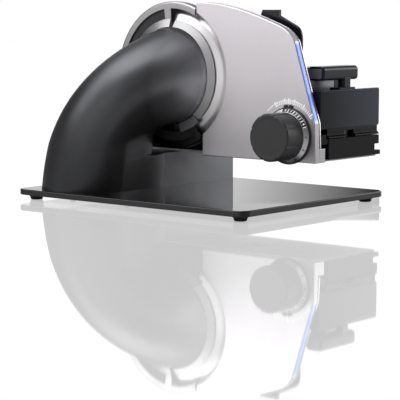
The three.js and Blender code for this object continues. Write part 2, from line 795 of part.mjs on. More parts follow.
function bladeHub() {
  const noseLength = BLADE_THICK + 1.5;
  const profile = [
    [SHAFT_RADIUS + FIT, HUB_X],
    [HUB_RADIUS - 1, HUB_X],
    [HUB_RADIUS, HUB_X + 1],
    [HUB_RADIUS, HUB_X + HUB_LENGTH],
    [BLADE_BORE - FIT, HUB_X + HUB_LENGTH],
    [BLADE_BORE - FIT, BLADE_BACK + noseLength],
    [SHAFT_RADIUS - 1.5, BLADE_BACK + noseLength],
    [SHAFT_RADIUS - 1.5, BLADE_BACK + 1],
    [SHAFT_RADIUS + FIT, BLADE_BACK + 1],
    [SHAFT_RADIUS + FIT, HUB_X],
  ];
  const holes = BLADE_SCREWS.map((degrees) =>
    rod(ALONG_X, SCREW_RADIUS + FIT, HUB_X - 1, HUB_X + HUB_LENGTH + 1, TINY).translate(
      around(BLADE_SCREW_CIRCLE, degrees),
    ),
  );
  return cut(turned(ALONG_X, profile, MIDDLE), ...holes);
}

piece(bladeAxis, "blade", steel, blade());
piece(bladeAxis, "blade_hub", darkPlastic, bladeHub());
BLADE_SCREWS.forEach((degrees, i) => {
  const turnedIn = screw(BLADE_THICK + HUB_LENGTH - 0.5).rotate([0, -90, 0]);
  const [, y, z] = around(BLADE_SCREW_CIRCLE, degrees);
  const head = BLADE_BACK + BLADE_THICK;
  piece(bladeAxis, `blade_screw_${i + 1}`, steel, turnedIn.translate([head, y, z]));
});

// Gearbox: head plate with posts, gear plate, bearings, shaft, gear and motor.

const HEAD_X = SPIGOT_X - HEAD_PLATE_SET - HEAD_PLATE_THICK;
const GEAR_PLATE_X = HEAD_X - GEARBOX_DEPTH - GEAR_PLATE_THICK;
const GEAR_X = HEAD_X - 3 - GEAR_WIDTH;
const CENTRE_DISTANCE = (GEAR_MODULE * (GEAR_TEETH + PINION_TEETH)) / 2;
const motorPlace = around(CENTRE_DISTANCE, MOTOR_ANGLE);
const POST_ANGLES = [85, 200, 335];

function headPlate() {
  const seat = ARM_RADIUS - ARM_WALL - FIT;
  const front = HEAD_X + HEAD_PLATE_THICK;
  const disc = ring(ALONG_X, BEARING_RADIUS + FIT, seat, HEAD_X, front, INNER_FACETS);
  const posts = POST_ANGLES.map((degrees) =>
    rod(ALONG_X, POST_RADIUS, GEAR_PLATE_X + GEAR_PLATE_THICK + FIT, HEAD_X + 1).translate(
      around(POST_CIRCLE, degrees),
    ),
  );
  return join(disc, ...posts);
}

function gearPlate() {
  const face = GEAR_PLATE_X + GEAR_PLATE_THICK;
  const disc = ring(ALONG_X, BEARING_RADIUS + FIT, GEAR_PLATE_RADIUS, GEAR_PLATE_X, face);
  const shaftHole = rod(ALONG_X, MOTOR_SHAFT_RADIUS + 1, GEAR_PLATE_X - 1, face + 1);
  return cut(disc, shaftHole.translate(motorPlace));
}

// Outline of a gear with straight-sided teeth, one of them on the angle given in degrees.
function gearShape(teeth, toothAngle) {
  const pitch = (GEAR_MODULE * teeth) / 2;
  const root = pitch - GEAR_MODULE * 1.3;
  const tip = pitch + GEAR_MODULE * 0.9;
  const step = (2 * Math.PI) / teeth;
  const corners = [[root, -0.33], [tip, -0.13], [tip, 0.13], [root, 0.33]];
  const points = [];
  for (let tooth = 0; tooth < teeth; tooth += 1) {
    corners.forEach(([radius, share]) => {
      const angle = rad(toothAngle) + (tooth + share) * step;
      points.push([radius * Math.cos(angle), radius * Math.sin(angle)]);
    });
  }
  return polygon(points);
}

function driveGear() {
  const teeth = prism(ALONG_X, gearShape(GEAR_TEETH, MOTOR_ANGLE), GEAR_X, GEAR_X + GEAR_WIDTH);
  const hub = rod(ALONG_X, SHAFT_RADIUS + 4, GEAR_X - 3, GEAR_X + GEAR_WIDTH);
  const bore = rod(ALONG_X, SHAFT_RADIUS + FIT, GEAR_X - 4, GEAR_X + GEAR_WIDTH + 1, MIDDLE);
  return cut(join(teeth, hub), bore);
}

function motorShaft() {
  const facing = MOTOR_ANGLE + 180 + 180 / PINION_TEETH;
  const end = GEAR_X + GEAR_WIDTH;
  const pinion = prism(ALONG_X, gearShape(PINION_TEETH, facing), GEAR_X - 0.5, end + 0.5);
  const shaft = rod(ALONG_X, MOTOR_SHAFT_RADIUS, GEAR_PLATE_X - 12, end + 2);
  return join(pinion, shaft);
}

function motorCan() {
  const back = GEAR_PLATE_X - FIT - MOTOR_LENGTH;
  const front = GEAR_PLATE_X - FIT;
  const profile = [
    [0, back],
    [MOTOR_RADIUS - 9, back],
    [MOTOR_RADIUS - 9, back + 4],
    [MOTOR_RADIUS - 2, back + 4],
    [MOTOR_RADIUS, back + 6],
    [MOTOR_RADIUS, front - 2],
    [MOTOR_RADIUS - 2, front],
    [MOTOR_SHAFT_RADIUS + RUN, front],
    [MOTOR_SHAFT_RADIUS + RUN, front - 13],
    [0, front - 13],
  ];
  return turned(ALONG_X, profile, MIDDLE);
}

function bearing(from, to) {
  const profile = [
    [SHAFT_RADIUS + FIT, from],
    [BEARING_RADIUS - 0.6, from],
    [BEARING_RADIUS, from + 0.6],
    [BEARING_RADIUS, to - 0.6],
    [BEARING_RADIUS - 0.6, to],
    [SHAFT_RADIUS + FIT, to],
    [SHAFT_RADIUS + FIT, from],
  ];
  return turned(ALONG_X, profile, MIDDLE);
}

function bladeShaft() {
  return rod(ALONG_X, SHAFT_RADIUS, GEAR_PLATE_X, BLADE_BACK + 0.7, MIDDLE);
}

piece(bladeAxis, "head_plate", aluminium, headPlate());
piece(bladeAxis, "gear_plate", aluminium, gearPlate());
piece(bladeAxis, "front_bearing", steel, bearing(HEAD_X - 1.5, HEAD_X + HEAD_PLATE_THICK - 0.5));
piece(bladeAxis, "rear_bearing", steel, bearing(GEAR_PLATE_X, GEAR_PLATE_X + GEAR_PLATE_THICK + 3));
piece(bladeAxis, "blade_shaft", steel, bladeShaft());
piece(bladeAxis, "drive_gear", nylon, driveGear());
piece(bladeAxis, "motor_shaft", steel, motorShaft().translate(motorPlace));
piece(bladeAxis, "motor_can", aluminium, motorCan().translate(motorPlace));

// Stop plate: a shallow tray with a face sheet on the food side.

const FACE_X = PLATE_BACK - PLATE_FACE_THICK;
const knobZ = DECK + KNOB_HEIGHT;

// The plate's outline, anticlockwise in (Y, Z) seen from the food side, from a given bottom edge.
function plateOutline(bottom) {
  const reach = BLADE_RADIUS + BLADE_GAP;
  const axisHeight = AXIS_Z - DECK;
  const lowAngle = Math.acos((PLATE_LEFT - AXIS_Y) / reach);
  const highAngle = Math.acos((PLATE_TOP_LEFT - AXIS_Y) / reach);
  const arc = [];
  const steps = 14;
  for (let i = 0; i <= steps; i += 1) {
    const angle = highAngle + ((2 * Math.PI - lowAngle - highAngle) * i) / steps;
    arc.push([AXIS_Y + reach * Math.cos(angle), axisHeight + reach * Math.sin(angle)]);
  }
  const brow = new THREE.QuadraticBezierCurve(
    new THREE.Vector2(PLATE_SHOULDER[0] + PLATE_SHOULDER_ROUND, PLATE_SHOULDER[1] + 5),
    new THREE.Vector2(PLATE_TOP_LEFT - PLATE_BROW, PLATE_TOP),
    new THREE.Vector2(PLATE_TOP_LEFT, PLATE_TOP),
  );
  const corner = new THREE.QuadraticBezierCurve(
    new THREE.Vector2(...STRIP_TOP),
    new THREE.Vector2(...PLATE_SHOULDER),
    brow.v0,
  );
  const upper = [...corner.getPoints(4), ...brow.getPoints(9).slice(1)].map((p) => [p.x, p.y]);
  const outline = [
    [PLATE_LEFT, bottom],
    ...arc.reverse(),
    ...upper.reverse(),
    STRIP_BOTTOM,
    [PLATE_FRONT_Y, bottom],
  ];
  return outline.map(([y, height]) => [y, DECK + height]);
}

// Anticlockwise corners of a band along the light strip's edge, between two depths below it.
function stripBand(outer, inner, shorter) {
  const top = new THREE.Vector2(STRIP_TOP[0], DECK + STRIP_TOP[1]);
  const bottom = new THREE.Vector2(STRIP_BOTTOM[0], DECK + STRIP_BOTTOM[1]);
  const along = top.clone().sub(bottom).normalize();
  const inward = new THREE.Vector2(along.y, -along.x);
  const low = bottom.clone().addScaledVector(along, shorter);
  const high = top.clone().addScaledVector(along, -shorter);
  const at = (end, depth) => end.clone().addScaledVector(inward, depth).toArray();
  return [at(low, outer), at(low, inner), at(high, inner), at(high, outer)];
}

const rodPlaces = ROD_PLACES.map((y) => [0, y, DECK + ROD_HEIGHT]);
const stripX = (PLATE_FRONT + FACE_X - STRIP_WIDTH) / 2;

function stopPlate() {
  const outline = plateOutline(PLATE_BOTTOM);
  const inside = polygon(inset(outline, PLATE_RIM));
  const body = prism(ALONG_X, polygon(outline), PLATE_FRONT, FACE_X - FIT, PLATE_EDGE);
  const pocket = prism(ALONG_X, inside, PLATE_FRONT + PLATE_SKIN, PLATE_BACK);
  const slot = prism(
    ALONG_X,
    polygon(stripBand(-2, STRIP_THICK + STRIP_BOARD_THICK + 2 * FIT, 0)),
    stripX - FIT,
    stripX + STRIP_WIDTH + FIT,
  );
  const onDial = [0, KNOB_Y, knobZ];
  const bushHole = rod(ALONG_X, BUSH_RADIUS + RUN, PLATE_FRONT - 1, PLATE_BACK, MIDDLE);
  const clipPocket = rod(ALONG_X, CLIP_RADIUS + 1, PLATE_FRONT + PLATE_SKIN, PLATE_BACK);
  const rodHoles = rodPlaces.map((place) =>
    rod(ALONG_X, ROD_RADIUS + FIT, PLATE_FRONT + PLATE_SKIN + 1, PLATE_BACK).translate(place),
  );
  const tray = cut(body, pocket, slot);
  return cut(tray, bushHole.translate(onDial), clipPocket.translate(onDial), ...rodHoles);
}

function stopFace() {
  const outline = polygon(inset(plateOutline(PLATE_FOOT_TOP + FIT), FIT));
  const sheet = prism(ALONG_X, outline, FACE_X, PLATE_BACK);
  const spindleHole = rod(ALONG_X, SPINDLE_RADIUS + 1.2, FACE_X - 1, PLATE_BACK + 1);
  return cut(sheet, spindleHole.translate([0, KNOB_Y, knobZ]));
}

// The bar along the plate's lower edge that holds the guide rods.
function stopFoot() {
  const bar = box(
    FACE_X,
    PLATE_BACK + PLATE_FOOT_REACH,
    PLATE_FRONT_Y + PLATE_EDGE,
    PLATE_LEFT - PLATE_EDGE,
    DECK + PLATE_BOTTOM,
    DECK + PLATE_FOOT_TOP,
  );
  const rodHoles = rodPlaces.map((place) =>
    rod(ALONG_X, ROD_RADIUS + FIT, FACE_X - 1, PLATE_BACK + PLATE_FOOT_REACH + 1).translate(place),
  );
  return cut(bar, ...rodHoles);
}

function lightStrip() {
  return prism(ALONG_X, polygon(stripBand(0, STRIP_THICK, FIT)), stripX, stripX + STRIP_WIDTH);
}

function lightBoard() {
  const outer = STRIP_THICK + FIT;
  const band = polygon(stripBand(outer, outer + STRIP_BOARD_THICK, 2));
  return prism(ALONG_X, band, stripX, stripX + STRIP_WIDTH);
}

piece(machine, "stop_plate", silver, stopPlate());
piece(machine, "stop_face", steel, stopFace());
piece(machine, "stop_foot", silver, stopFoot());
piece(machine, "light_strip", blueLight, lightStrip());
piece(machine, "light_board", boardGreen, lightBoard());
rodPlaces.forEach((place, i) => {
  const start = PLATE_FRONT + PLATE_SKIN + 1 + FIT;
  const bar = rod(ALONG_X, ROD_RADIUS, start, start + ROD_LENGTH);
  piece(machine, `guide_rod_${i + 1}`, steel, bar.translate(place));
});

// Dial: index ring on the plate, scale ring, fluted knob, threaded bush and its clip.

const SCALE_X = PLATE_FRONT - INDEX_THICK - RUN - SCALE_THICK;
const KNOB_X = SCALE_X - KNOB_LENGTH;

function indexRing() {
  const shape = new THREE.Shape();
  const ear = 7;
  const place = (radius, degrees) => around(radius, degrees).slice(1);
  shape.absarc(0, 0, INDEX_RADIUS, rad(90 + ear), rad(90 - ear + 360), false);
  shape.lineTo(...place(INDEX_RADIUS + INDEX_EAR, 90 - ear + 2.5));
  shape.lineTo(...place(INDEX_RADIUS + 0.4, 90));
  shape.lineTo(...place(INDEX_RADIUS + INDEX_EAR, 90 + ear - 2.5));
  shape.closePath();
  const hole = new THREE.Path();
  hole.absarc(0, 0, BUSH_RADIUS + RUN + 6, 0, 2 * Math.PI, true);
  shape.holes.push(hole);
  return prism(ALONG_X, shape, PLATE_FRONT - INDEX_THICK, PLATE_FRONT, 0, 14);
}

function scaleRing() {
  const front = SCALE_X;
  const profile = [
    [BUSH_RADIUS + FIT, front],
    [KNOB_RADIUS, front],
    [SCALE_RADIUS - 1, front + SCALE_THICK * 0.55],
    [SCALE_RADIUS, front + SCALE_THICK * 0.7],
    [SCALE_RADIUS, front + SCALE_THICK],
    [BUSH_RADIUS + FIT, front + SCALE_THICK],
    [BUSH_RADIUS + FIT, front],
  ];
  return turned(ALONG_X, profile);
}

function knobCap() {
  const body = turned(
    ALONG_X,
    [
      [0, KNOB_X],
      [KNOB_RADIUS - KNOB_ROUND, KNOB_X],
      [KNOB_RADIUS - KNOB_ROUND * 0.3, KNOB_X + KNOB_ROUND * 0.3],
      [KNOB_RADIUS, KNOB_X + KNOB_ROUND],
      [KNOB_RADIUS, SCALE_X - FIT],
      [0, SCALE_X - FIT],
    ],
    48,
  );
  const flutes = [];
  for (let grip = 0; grip < KNOB_GRIPS; grip += 1) {
    const degrees = KNOB_GRIP_ANGLE + (grip * 360) / KNOB_GRIPS;
    const place = around(KNOB_RADIUS + KNOB_GRIP_RADIUS - KNOB_GRIP_DEPTH, degrees);
    flutes.push(rod(ALONG_X, KNOB_GRIP_RADIUS, KNOB_X - 1, SCALE_X + 1).translate(place));
  }
  const socket = rod(ALONG_X, BUSH_RADIUS + FIT, KNOB_X + KNOB_ROOF, SCALE_X + 1, MIDDLE);
  return cut(body, socket, ...flutes);
}

const CLIP_X = PLATE_FRONT + PLATE_SKIN + RUN;

function knobBush() {
  const end = CLIP_X + CLIP_THICK + 1.5;
  return ring(ALONG_X, SPINDLE_RADIUS + RUN, BUSH_RADIUS, KNOB_X + KNOB_ROOF + FIT, end, MIDDLE);
}

function bushClip() {
  return ring(ALONG_X, BUSH_RADIUS + FIT, CLIP_RADIUS, CLIP_X, CLIP_X + CLIP_THICK, MIDDLE);
}

piece(knobAxis, "index_ring", darkPlastic, indexRing());
piece(knobAxis, "scale_ring", aluminium, scaleRing());
piece(knobAxis, "knob_cap", charcoal, knobCap());
piece(knobAxis, "knob_bush", brass, knobBush());
piece(knobAxis, "bush_clip", steel, bushClip());

// Spindle and the bracket that holds it on the beam.

const BRACKET_X = RAIL_INNER - FIT - 5;
const BRACKET_TOP = KNOB_HEIGHT + SPINDLE_RADIUS + 1.6;
const SPINDLE_START = SCALE_X - SPINDLE_REACH + SCALE_THICK;

function spindleBracket() {
  const outline = new THREE.Shape();
  const half = 11;
  outline.moveTo(KNOB_Y - half, DECK + RAIL_BOTTOM + 2);
  outline.lineTo(KNOB_Y + half, DECK + RAIL_BOTTOM + 2);
  outline.lineTo(KNOB_Y + half, DECK + BRACKET_TOP - 4);
  outline.lineTo(KNOB_Y + half - 4, DECK + BRACKET_TOP);
  outline.lineTo(KNOB_Y - half + 4, DECK + BRACKET_TOP);
  outline.lineTo(KNOB_Y - half, DECK + BRACKET_TOP - 4);
  outline.closePath();
  const plate = prism(ALONG_X, outline, BRACKET_X, RAIL_INNER - FIT, 0.5);
  const hole = rod(ALONG_X, SPINDLE_RADIUS - 1 + FIT, BRACKET_X - 1, RAIL_INNER + 1);
  return cut(plate, hole.translate([0, KNOB_Y, knobZ]));
}

function spindle() {
  const profile = [
    [0, SPINDLE_START],
    [SPINDLE_RADIUS - 1, SPINDLE_START],
    [SPINDLE_RADIUS, SPINDLE_START + 1],
    [SPINDLE_RADIUS, BRACKET_X - FIT],
    [SPINDLE_RADIUS - 1, BRACKET_X - FIT],
    [SPINDLE_RADIUS - 1, RAIL_INNER - 1],
    [0, RAIL_INNER - 1],
  ];
  return turned(ALONG_X, profile, FINE);
}

piece(machine, "spindle_bracket", steel, spindleBracket());
piece(knobAxis, "spindle", steel, spindle());

// Rail beam: a channel that is open below, with a groove along its outer side.

const railFloor = DECK + RAIL_BOTTOM;
const CAVITY_OUTER = RAIL_OUTER - RAIL_GROOVE_DEPTH - RAIL_WALL - 1;

// Outline of the beam in (Z, X), for pulling along Y, as an open channel or filled for a cap.
function beamOutline(hollow) {
  const grooveTop = RAIL_BOTTOM + RAIL_FLANGE + RAIL_GROOVE_HEIGHT;
  const points = [
    [RAIL_BOTTOM, RAIL_INNER],
    [RAIL_TOP, RAIL_INNER],
    [RAIL_TOP, RAIL_OUTER],
    [grooveTop, RAIL_OUTER],
    [grooveTop, RAIL_OUTER - RAIL_GROOVE_DEPTH],
    [RAIL_BOTTOM + RAIL_FLANGE, RAIL_OUTER - RAIL_GROOVE_DEPTH],
    [RAIL_BOTTOM + RAIL_FLANGE, RAIL_OUTER + RAIL_LEDGE],
    [RAIL_BOTTOM, RAIL_OUTER + RAIL_LEDGE],
  ];
  if (hollow) {
    points.push(
      [RAIL_BOTTOM, CAVITY_OUTER],
      [RAIL_TOP - RAIL_WALL, CAVITY_OUTER],
      [RAIL_TOP - RAIL_WALL, RAIL_INNER + RAIL_WALL],
      [RAIL_BOTTOM, RAIL_INNER + RAIL_WALL],
    );
  }
  return polygon(points.map(([height, x]) => [DECK + height, x]));
}

function railBeam() {
  const channel = prism(ALONG_Y, beamOutline(true), RAIL_FRONT + RAIL_CAP + FIT, RAIL_END);
  const bosses = RAIL_SCREW_PLACES.map(([x, y]) =>
    rod(ALONG_Z, BOSS_RADIUS, railFloor, DECK + RAIL_TOP - 1).translate([x, y, 0]),
  );
  const threads = RAIL_SCREW_PLACES.map(([x, y]) =>
    rod(ALONG_Z, SCREW_RADIUS + FIT, railFloor - 1, railFloor + 15, TINY).translate([x, y, 0]),
  );
  const sleeves = rodPlaces.map((place) =>
    rod(ALONG_X, ROD_RADIUS + 3, RAIL_INNER + 1, RAIL_INNER + 20).translate(place),
  );
  const rodHoles = rodPlaces.map((place) =>
    rod(ALONG_X, ROD_RADIUS + RUN, RAIL_INNER - 1, RAIL_INNER + 21).translate(place),
  );
  return cut(join(channel, ...bosses, ...sleeves), ...threads, ...rodHoles);
}

function railCover() {
  const coverFloor = DECK + ARM_FOOT_HEIGHT;
  const sheet = box(
    RAIL_INNER,
    RAIL_OUTER + RAIL_LEDGE,
    RAIL_FRONT + RAIL_CAP + FIT,
    RAIL_END,
    coverFloor,
    railFloor,
  );
  const recess = new THREE.Shape();
  const half = RECESS_WIDTH / 2;
  const run = RECESS_LENGTH / 2 - half;
  recess.absarc(TRACK_X, RECESS_Y + run, half, 0, Math.PI);
  recess.absarc(TRACK_X, RECESS_Y - run, half, Math.PI, 2 * Math.PI);
  recess.closePath();
  const holes = RAIL_SCREW_PLACES.map(([x, y]) =>
    rod(ALONG_Z, SCREW_RADIUS + FIT, coverFloor - 1, railFloor + 1, TINY).translate([x, y, 0]),
  );
  const slot = prism(ALONG_Z, recess, coverFloor - 1, railFloor + 1, 0, 6);
  return cut(sheet, slot, ...holes);
}

// Front cap of the beam, with a rounded nose that reaches towards the stop plate.
function railFrontCap() {
  const cap = prism(ALONG_Y, beamOutline(false), RAIL_FRONT, RAIL_FRONT + RAIL_CAP);
  const noseHeight = 12;
  const noseTop = RAIL_TOP + 6;
  const nose = roundedRectangle(
    DECK + noseTop - noseHeight,
    DECK + noseTop,
    RAIL_INNER - NOSE_REACH,
    RAIL_INNER + 14,
    noseHeight / 2 - 0.1,
  );
  const arm = prism(ALONG_Y, nose, RAIL_FRONT + 1, RAIL_FRONT + RAIL_CAP, 0.5, 4);
  const overBeam = box(
    RAIL_INNER - 4,
    RAIL_OUTER,
    RAIL_FRONT,
    RAIL_FRONT + RAIL_CAP + 1,
    DECK + RAIL_TOP,
    DECK + noseTop + 1,
  );
  return join(cap, cut(arm, overBeam));
}

function railRearCap() {
  return prism(ALONG_Y, beamOutline(false), RAIL_END + FIT, RAIL_END + RAIL_REAR_CAP);
}

function slideTrack() {
  const top = RAIL_TOP + TRACK_HEIGHT;
  const neck = top - TRACK_HEAD_THICK;
  const points = [
    [RAIL_TOP, TRACK_X - TRACK_HEAD / 2],
    [RAIL_TOP + 1.2, TRACK_X - TRACK_HEAD / 2],
    [RAIL_TOP + 1.2, TRACK_X - TRACK_WEB / 2],
    [neck, TRACK_X - TRACK_WEB / 2],
    [neck, TRACK_X - TRACK_HEAD / 2],
    [top, TRACK_X - TRACK_HEAD / 2],
  ];
  const mirrored = points.map(([height, x]) => [height, 2 * TRACK_X - x]).reverse();
  const outline = [...points, ...mirrored].map(([height, x]) => [DECK + height, x]);
  return prism(ALONG_Y, polygon(outline), RAIL_FRONT + RAIL_CAP + 2, RAIL_END - 1);
}

piece(machine, "rail_beam", glossBlack, railBeam());
piece(machine, "rail_cover", paleCover, railCover());
piece(machine, "rail_front_cap", darkPlastic, railFrontCap());
piece(machine, "rail_rear_cap", darkPlastic, railRearCap());
piece(machine, "slide_track", aluminium, slideTrack());

// Carriage: tray, operator wall with its guide bar, shoe on the track and glide on the beam.

const TRAY_FRONT = RAIL_FRONT + CARRIAGE_WALL_THICK + FIT;
const TRAY_TOP = CARRIAGE_FLOOR + CARRIAGE_FLOOR_THICK;

function carriageTray() {
  const end = RAIL_FRONT + CARRIAGE_LENGTH;
  const floor = roundedRectangle(CARRIAGE_INNER, CARRIAGE_OUTER, TRAY_FRONT, end, 2);
  const sheet = prism(ALONG_Z, floor, DECK + CARRIAGE_FLOOR, DECK + TRAY_TOP, 0.6, 2);
  const edge = box(
    CARRIAGE_OUTER - 3,
    CARRIAGE_OUTER,
    TRAY_FRONT + 2,
    end - 4,
    DECK + TRAY_TOP - 1,
    DECK + TRAY_TOP + CARRIAGE_LIP,
  );
  return join(sheet, edge);
}

// The wall, and below it an apron that closes the gap to the beam and lets the track through.
function carriageWall() {
  const face = roundedRectangle(
    DECK + CARRIAGE_FLOOR,
    DECK + CARRIAGE_WALL_TOP,
    CARRIAGE_INNER,
    CARRIAGE_OUTER,
    2.5,
  );
  const back = RAIL_FRONT + CARRIAGE_WALL_THICK;
  const wall = prism(ALONG_Y, face, RAIL_FRONT, back, 1.2, 2);
  const bottom = DECK + RAIL_TOP + 2 * RUN;
  const root = DECK + CARRIAGE_FLOOR + 2;
  const apronOutline = polygon([
    [back, bottom],
    [back, root],
    [RAIL_FRONT + APRON_SET, root],
    [RAIL_FRONT + APRON_SET, bottom + APRON_EDGE + APRON_SLOPE],
    [RAIL_FRONT, bottom + APRON_EDGE],
    [RAIL_FRONT, bottom],
  ]);
  const apron = prism(ALONG_X, apronOutline, RAIL_INNER, CARRIAGE_OUTER);
  const trackHalf = TRACK_HEAD / 2 + 2 * RUN;
  const trackPass = box(
    TRACK_X - trackHalf,
    TRACK_X + trackHalf,
    RAIL_FRONT - 1,
    back + 1,
    DECK + RAIL_TOP,
    DECK + RAIL_TOP + TRACK_HEIGHT + 2 * RUN,
  );
  return cut(join(wall, apron), trackPass);
}

const GUIDE_Y = RAIL_FRONT + CARRIAGE_WALL_THICK + FIT;

function pusherGuide() {
  const bar = roundedRectangle(
    GUIDE_Y,
    GUIDE_Y + GUIDE_DEPTH,
    DECK + GUIDE_TOP - GUIDE_HEIGHT,
    DECK + GUIDE_TOP,
    2,
  );
  const slot = box(
    CARRIAGE_INNER,
    CARRIAGE_OUTER,
    GUIDE_Y + GUIDE_DEPTH - 4,
    GUIDE_Y + GUIDE_DEPTH + 1,
    DECK + GUIDE_TOP - GUIDE_HEIGHT + 4,
    DECK + GUIDE_TOP - 4,
  );
  return cut(prism(ALONG_X, bar, CARRIAGE_INNER + 2, CARRIAGE_OUTER - 2, 0, 2), slot);
}

function carriageShoe() {
  const half = TRACK_HEAD / 2 + RUN;
  const neck = RAIL_TOP + TRACK_HEIGHT - TRACK_HEAD_THICK;
  const start = TRAY_FRONT + 8;
  const bottom = RAIL_TOP + 2.2;
  const block = box(
    TRACK_X - half - SHOE_WALL,
    TRACK_X + half + SHOE_WALL,
    start,
    start + SHOE_LENGTH,
    DECK + bottom,
    DECK + CARRIAGE_FLOOR,
  );
  const crown = DECK + RAIL_TOP + TRACK_HEIGHT + RUN;
  const head = box(TRACK_X - half, TRACK_X + half, 0, BASE_LENGTH, DECK + neck - RUN, crown);
  const webHalf = TRACK_WEB / 2 + RUN;
  const web = box(TRACK_X - webHalf, TRACK_X + webHalf, 0, BASE_LENGTH, DECK + bottom - 1, DECK + neck);
  return cut(block, head, web);
}

function carriageGlide() {
  const foot = roundedRectangle(
    CARRIAGE_OUTER - 2 - GLIDE_WIDTH,
    CARRIAGE_OUTER - 2,
    TRAY_FRONT,
    RAIL_FRONT + CARRIAGE_LENGTH - 20,
    4,
  );
  return prism(ALONG_Z, foot, DECK + RAIL_TOP + RUN, DECK + CARRIAGE_FLOOR, 0.8, 2);
}

piece(machine, "carriage_tray", glossBlack, carriageTray());
piece(machine, "carriage_wall", glossBlack, carriageWall());
piece(machine, "pusher_guide", glossBlack, pusherGuide());
piece(machine, "carriage_shoe", nylon, carriageShoe());
piece(machine, "carriage_glide", darkPlastic, carriageGlide());

// Pusher: a tall ribbed plate, a handle above the wall, and a shoe on the guide bar.

function pusherPlate() {
  const bottom = DECK + TRAY_TOP + 2.5;
  const shape = new THREE.Shape();
  shape.moveTo(PUSHER_FRONT_Y, bottom);
  shape.lineTo(PUSHER_BACK_Y, bottom);
  shape.lineTo(PUSHER_BACK_Y, DECK + PUSHER_BACK_TOP - 25);
  shape.quadraticCurveTo(
    PUSHER_BACK_Y,
    DECK + PUSHER_BACK_TOP,
    PUSHER_BACK_Y - 25,
    DECK + PUSHER_BACK_TOP,
  );
  shape.lineTo(PUSHER_TAB[1] + 4, DECK + PUSHER_BACK_TOP);
  shape.lineTo(PUSHER_TAB[1], DECK + PUSHER_TAB_TOP);
  shape.lineTo(PUSHER_TAB[0], DECK + PUSHER_TAB_TOP);
  shape.lineTo(PUSHER_TAB[0], DECK + PUSHER_TAB_TOP - 7);
  shape.lineTo(PUSHER_SHOULDER[0], DECK + PUSHER_SHOULDER[1]);
  shape.quadraticCurveTo(
    PUSHER_FRONT_Y,
    DECK + PUSHER_SHOULDER[1] - 4,
    PUSHER_FRONT_Y,
    DECK + PUSHER_SHOULDER[1] - 16,
  );
  shape.closePath();
  const sheet = prism(ALONG_X, shape, PUSHER_FACE, PUSHER_FACE + PUSHER_THICK, 0.8, 6);
  const span = HANDLE_BOTTOM - TRAY_TOP;
  const ribs = [];
  for (let i = 0; i < PUSHER_RIBS; i += 1) {
    const height = DECK + TRAY_TOP + 10 + (i * span) / PUSHER_RIBS;
    const tooth = polygon([
      [height - 2.5, PUSHER_FACE + 1],
      [height, PUSHER_FACE - PUSHER_RIB],
      [height + 2.5, PUSHER_FACE + 1],
    ]);
    ribs.push(prism(ALONG_Y, tooth, PUSHER_FRONT_Y + 6, PUSHER_BACK_Y - 6));
  }
  return join(sheet, ...ribs);
}

// The handle: a grip above the wall, a bridge behind it that reaches the plate with a panel below
// it, a neck between the two and a stem down to the shoe.
function pusherHandle() {
  const z0 = DECK + HANDLE_BOTTOM;
  const z1 = z0 + HANDLE_HEIGHT;
  const back = HANDLE_FRONT + HANDLE_DEPTH;
  const section = roundedRectangle(HANDLE_FRONT, back, z0, z1, 5);
  const grip = prism(ALONG_X, section, HANDLE_START, HANDLE_END, 2, 3);
  const start = PUSHER_FACE + PUSHER_THICK + FIT;
  const bridge = prism(
    ALONG_X,
    roundedRectangle(BRIDGE_Y, BRIDGE_Y + BRIDGE_DEPTH, z0 - 1, z1 - 2, 4),
    start,
    BRIDGE_END,
    1,
    2,
  );
  const skirtEnd = BRIDGE_Y + SKIRT_THICK;
  const skirt = box(start, SKIRT_END, BRIDGE_Y, skirtEnd, z0 - SKIRT_DROP, z0 + 2);
  const neck = box(BRIDGE_END - BRIDGE_NECK, BRIDGE_END - 3, back - 4, BRIDGE_Y + 4, z0 + 3, z1 - 5);
  const post = roundedRectangle(
    STEM_X - STEM_WIDTH / 2,
    STEM_X + STEM_WIDTH / 2,
    GUIDE_Y + 1,
    GUIDE_Y + GUIDE_DEPTH - 1,
    3,
  );
  const stem = prism(ALONG_Z, post, DECK + GUIDE_TOP + SADDLE_THICK + FIT, z0 + 3, 0, 2);
  return join(grip, bridge, skirt, neck, stem);
}

// A saddle that hooks over the guide bar from behind.
function pusherShoe() {
  const half = STEM_WIDTH;
  const bottom = DECK + GUIDE_TOP - GUIDE_HEIGHT;
  const top = DECK + GUIDE_TOP + RUN;
  const back = GUIDE_Y + GUIDE_DEPTH + RUN;
  const crown = top + SADDLE_THICK - RUN;
  const hook = bottom + 4 + RUN;
  const hookTop = DECK + GUIDE_TOP - 4 - RUN;
  const saddle = box(STEM_X - half, STEM_X + half, GUIDE_Y + 1, back, top, crown);
  const drop = box(STEM_X - half, STEM_X + half, back, back + 4, bottom, crown);
  const tongue = box(STEM_X - half, STEM_X + half, back - 3.4, back + 1, hook, hookTop);
  return join(saddle, drop, tongue);
}

piece(machine, "pusher_plate", glossBlack, pusherPlate());
piece(machine, "pusher_handle", glossBlack, pusherHandle());
piece(machine, "pusher_shoe", darkPlastic, pusherShoe());

// Switch, cord inlet and power board in the foot.

const FLANK_Y = ARM_FOOT_Y + ARM_FOOT_HALF;
const flankPlace = (x) => [x, FLANK_Y, flankZ];
const FLANK_LEAN = ARM_FOOT_DRAFT; // how far the flank leans in at the top of the foot

function switchBezel() {
  const inner = BUTTON_RADIUS + RUN;
  const sleeve = inner + BEZEL_WALL / 2 - FIT;
  const profile = [
    [inner, -ARM_WALL],
    [sleeve, -ARM_WALL],
    [sleeve, FIT],
    [inner + BEZEL_WALL, FIT],
    [inner + BEZEL_WALL, FIT + BEZEL_THICK * 0.6],
    [inner + BEZEL_WALL - 1, FIT + BEZEL_THICK],
    [inner, FIT + BEZEL_THICK],
    [inner, -ARM_WALL],
  ];
  return turned(ALONG_Y, profile, MIDDLE);
}

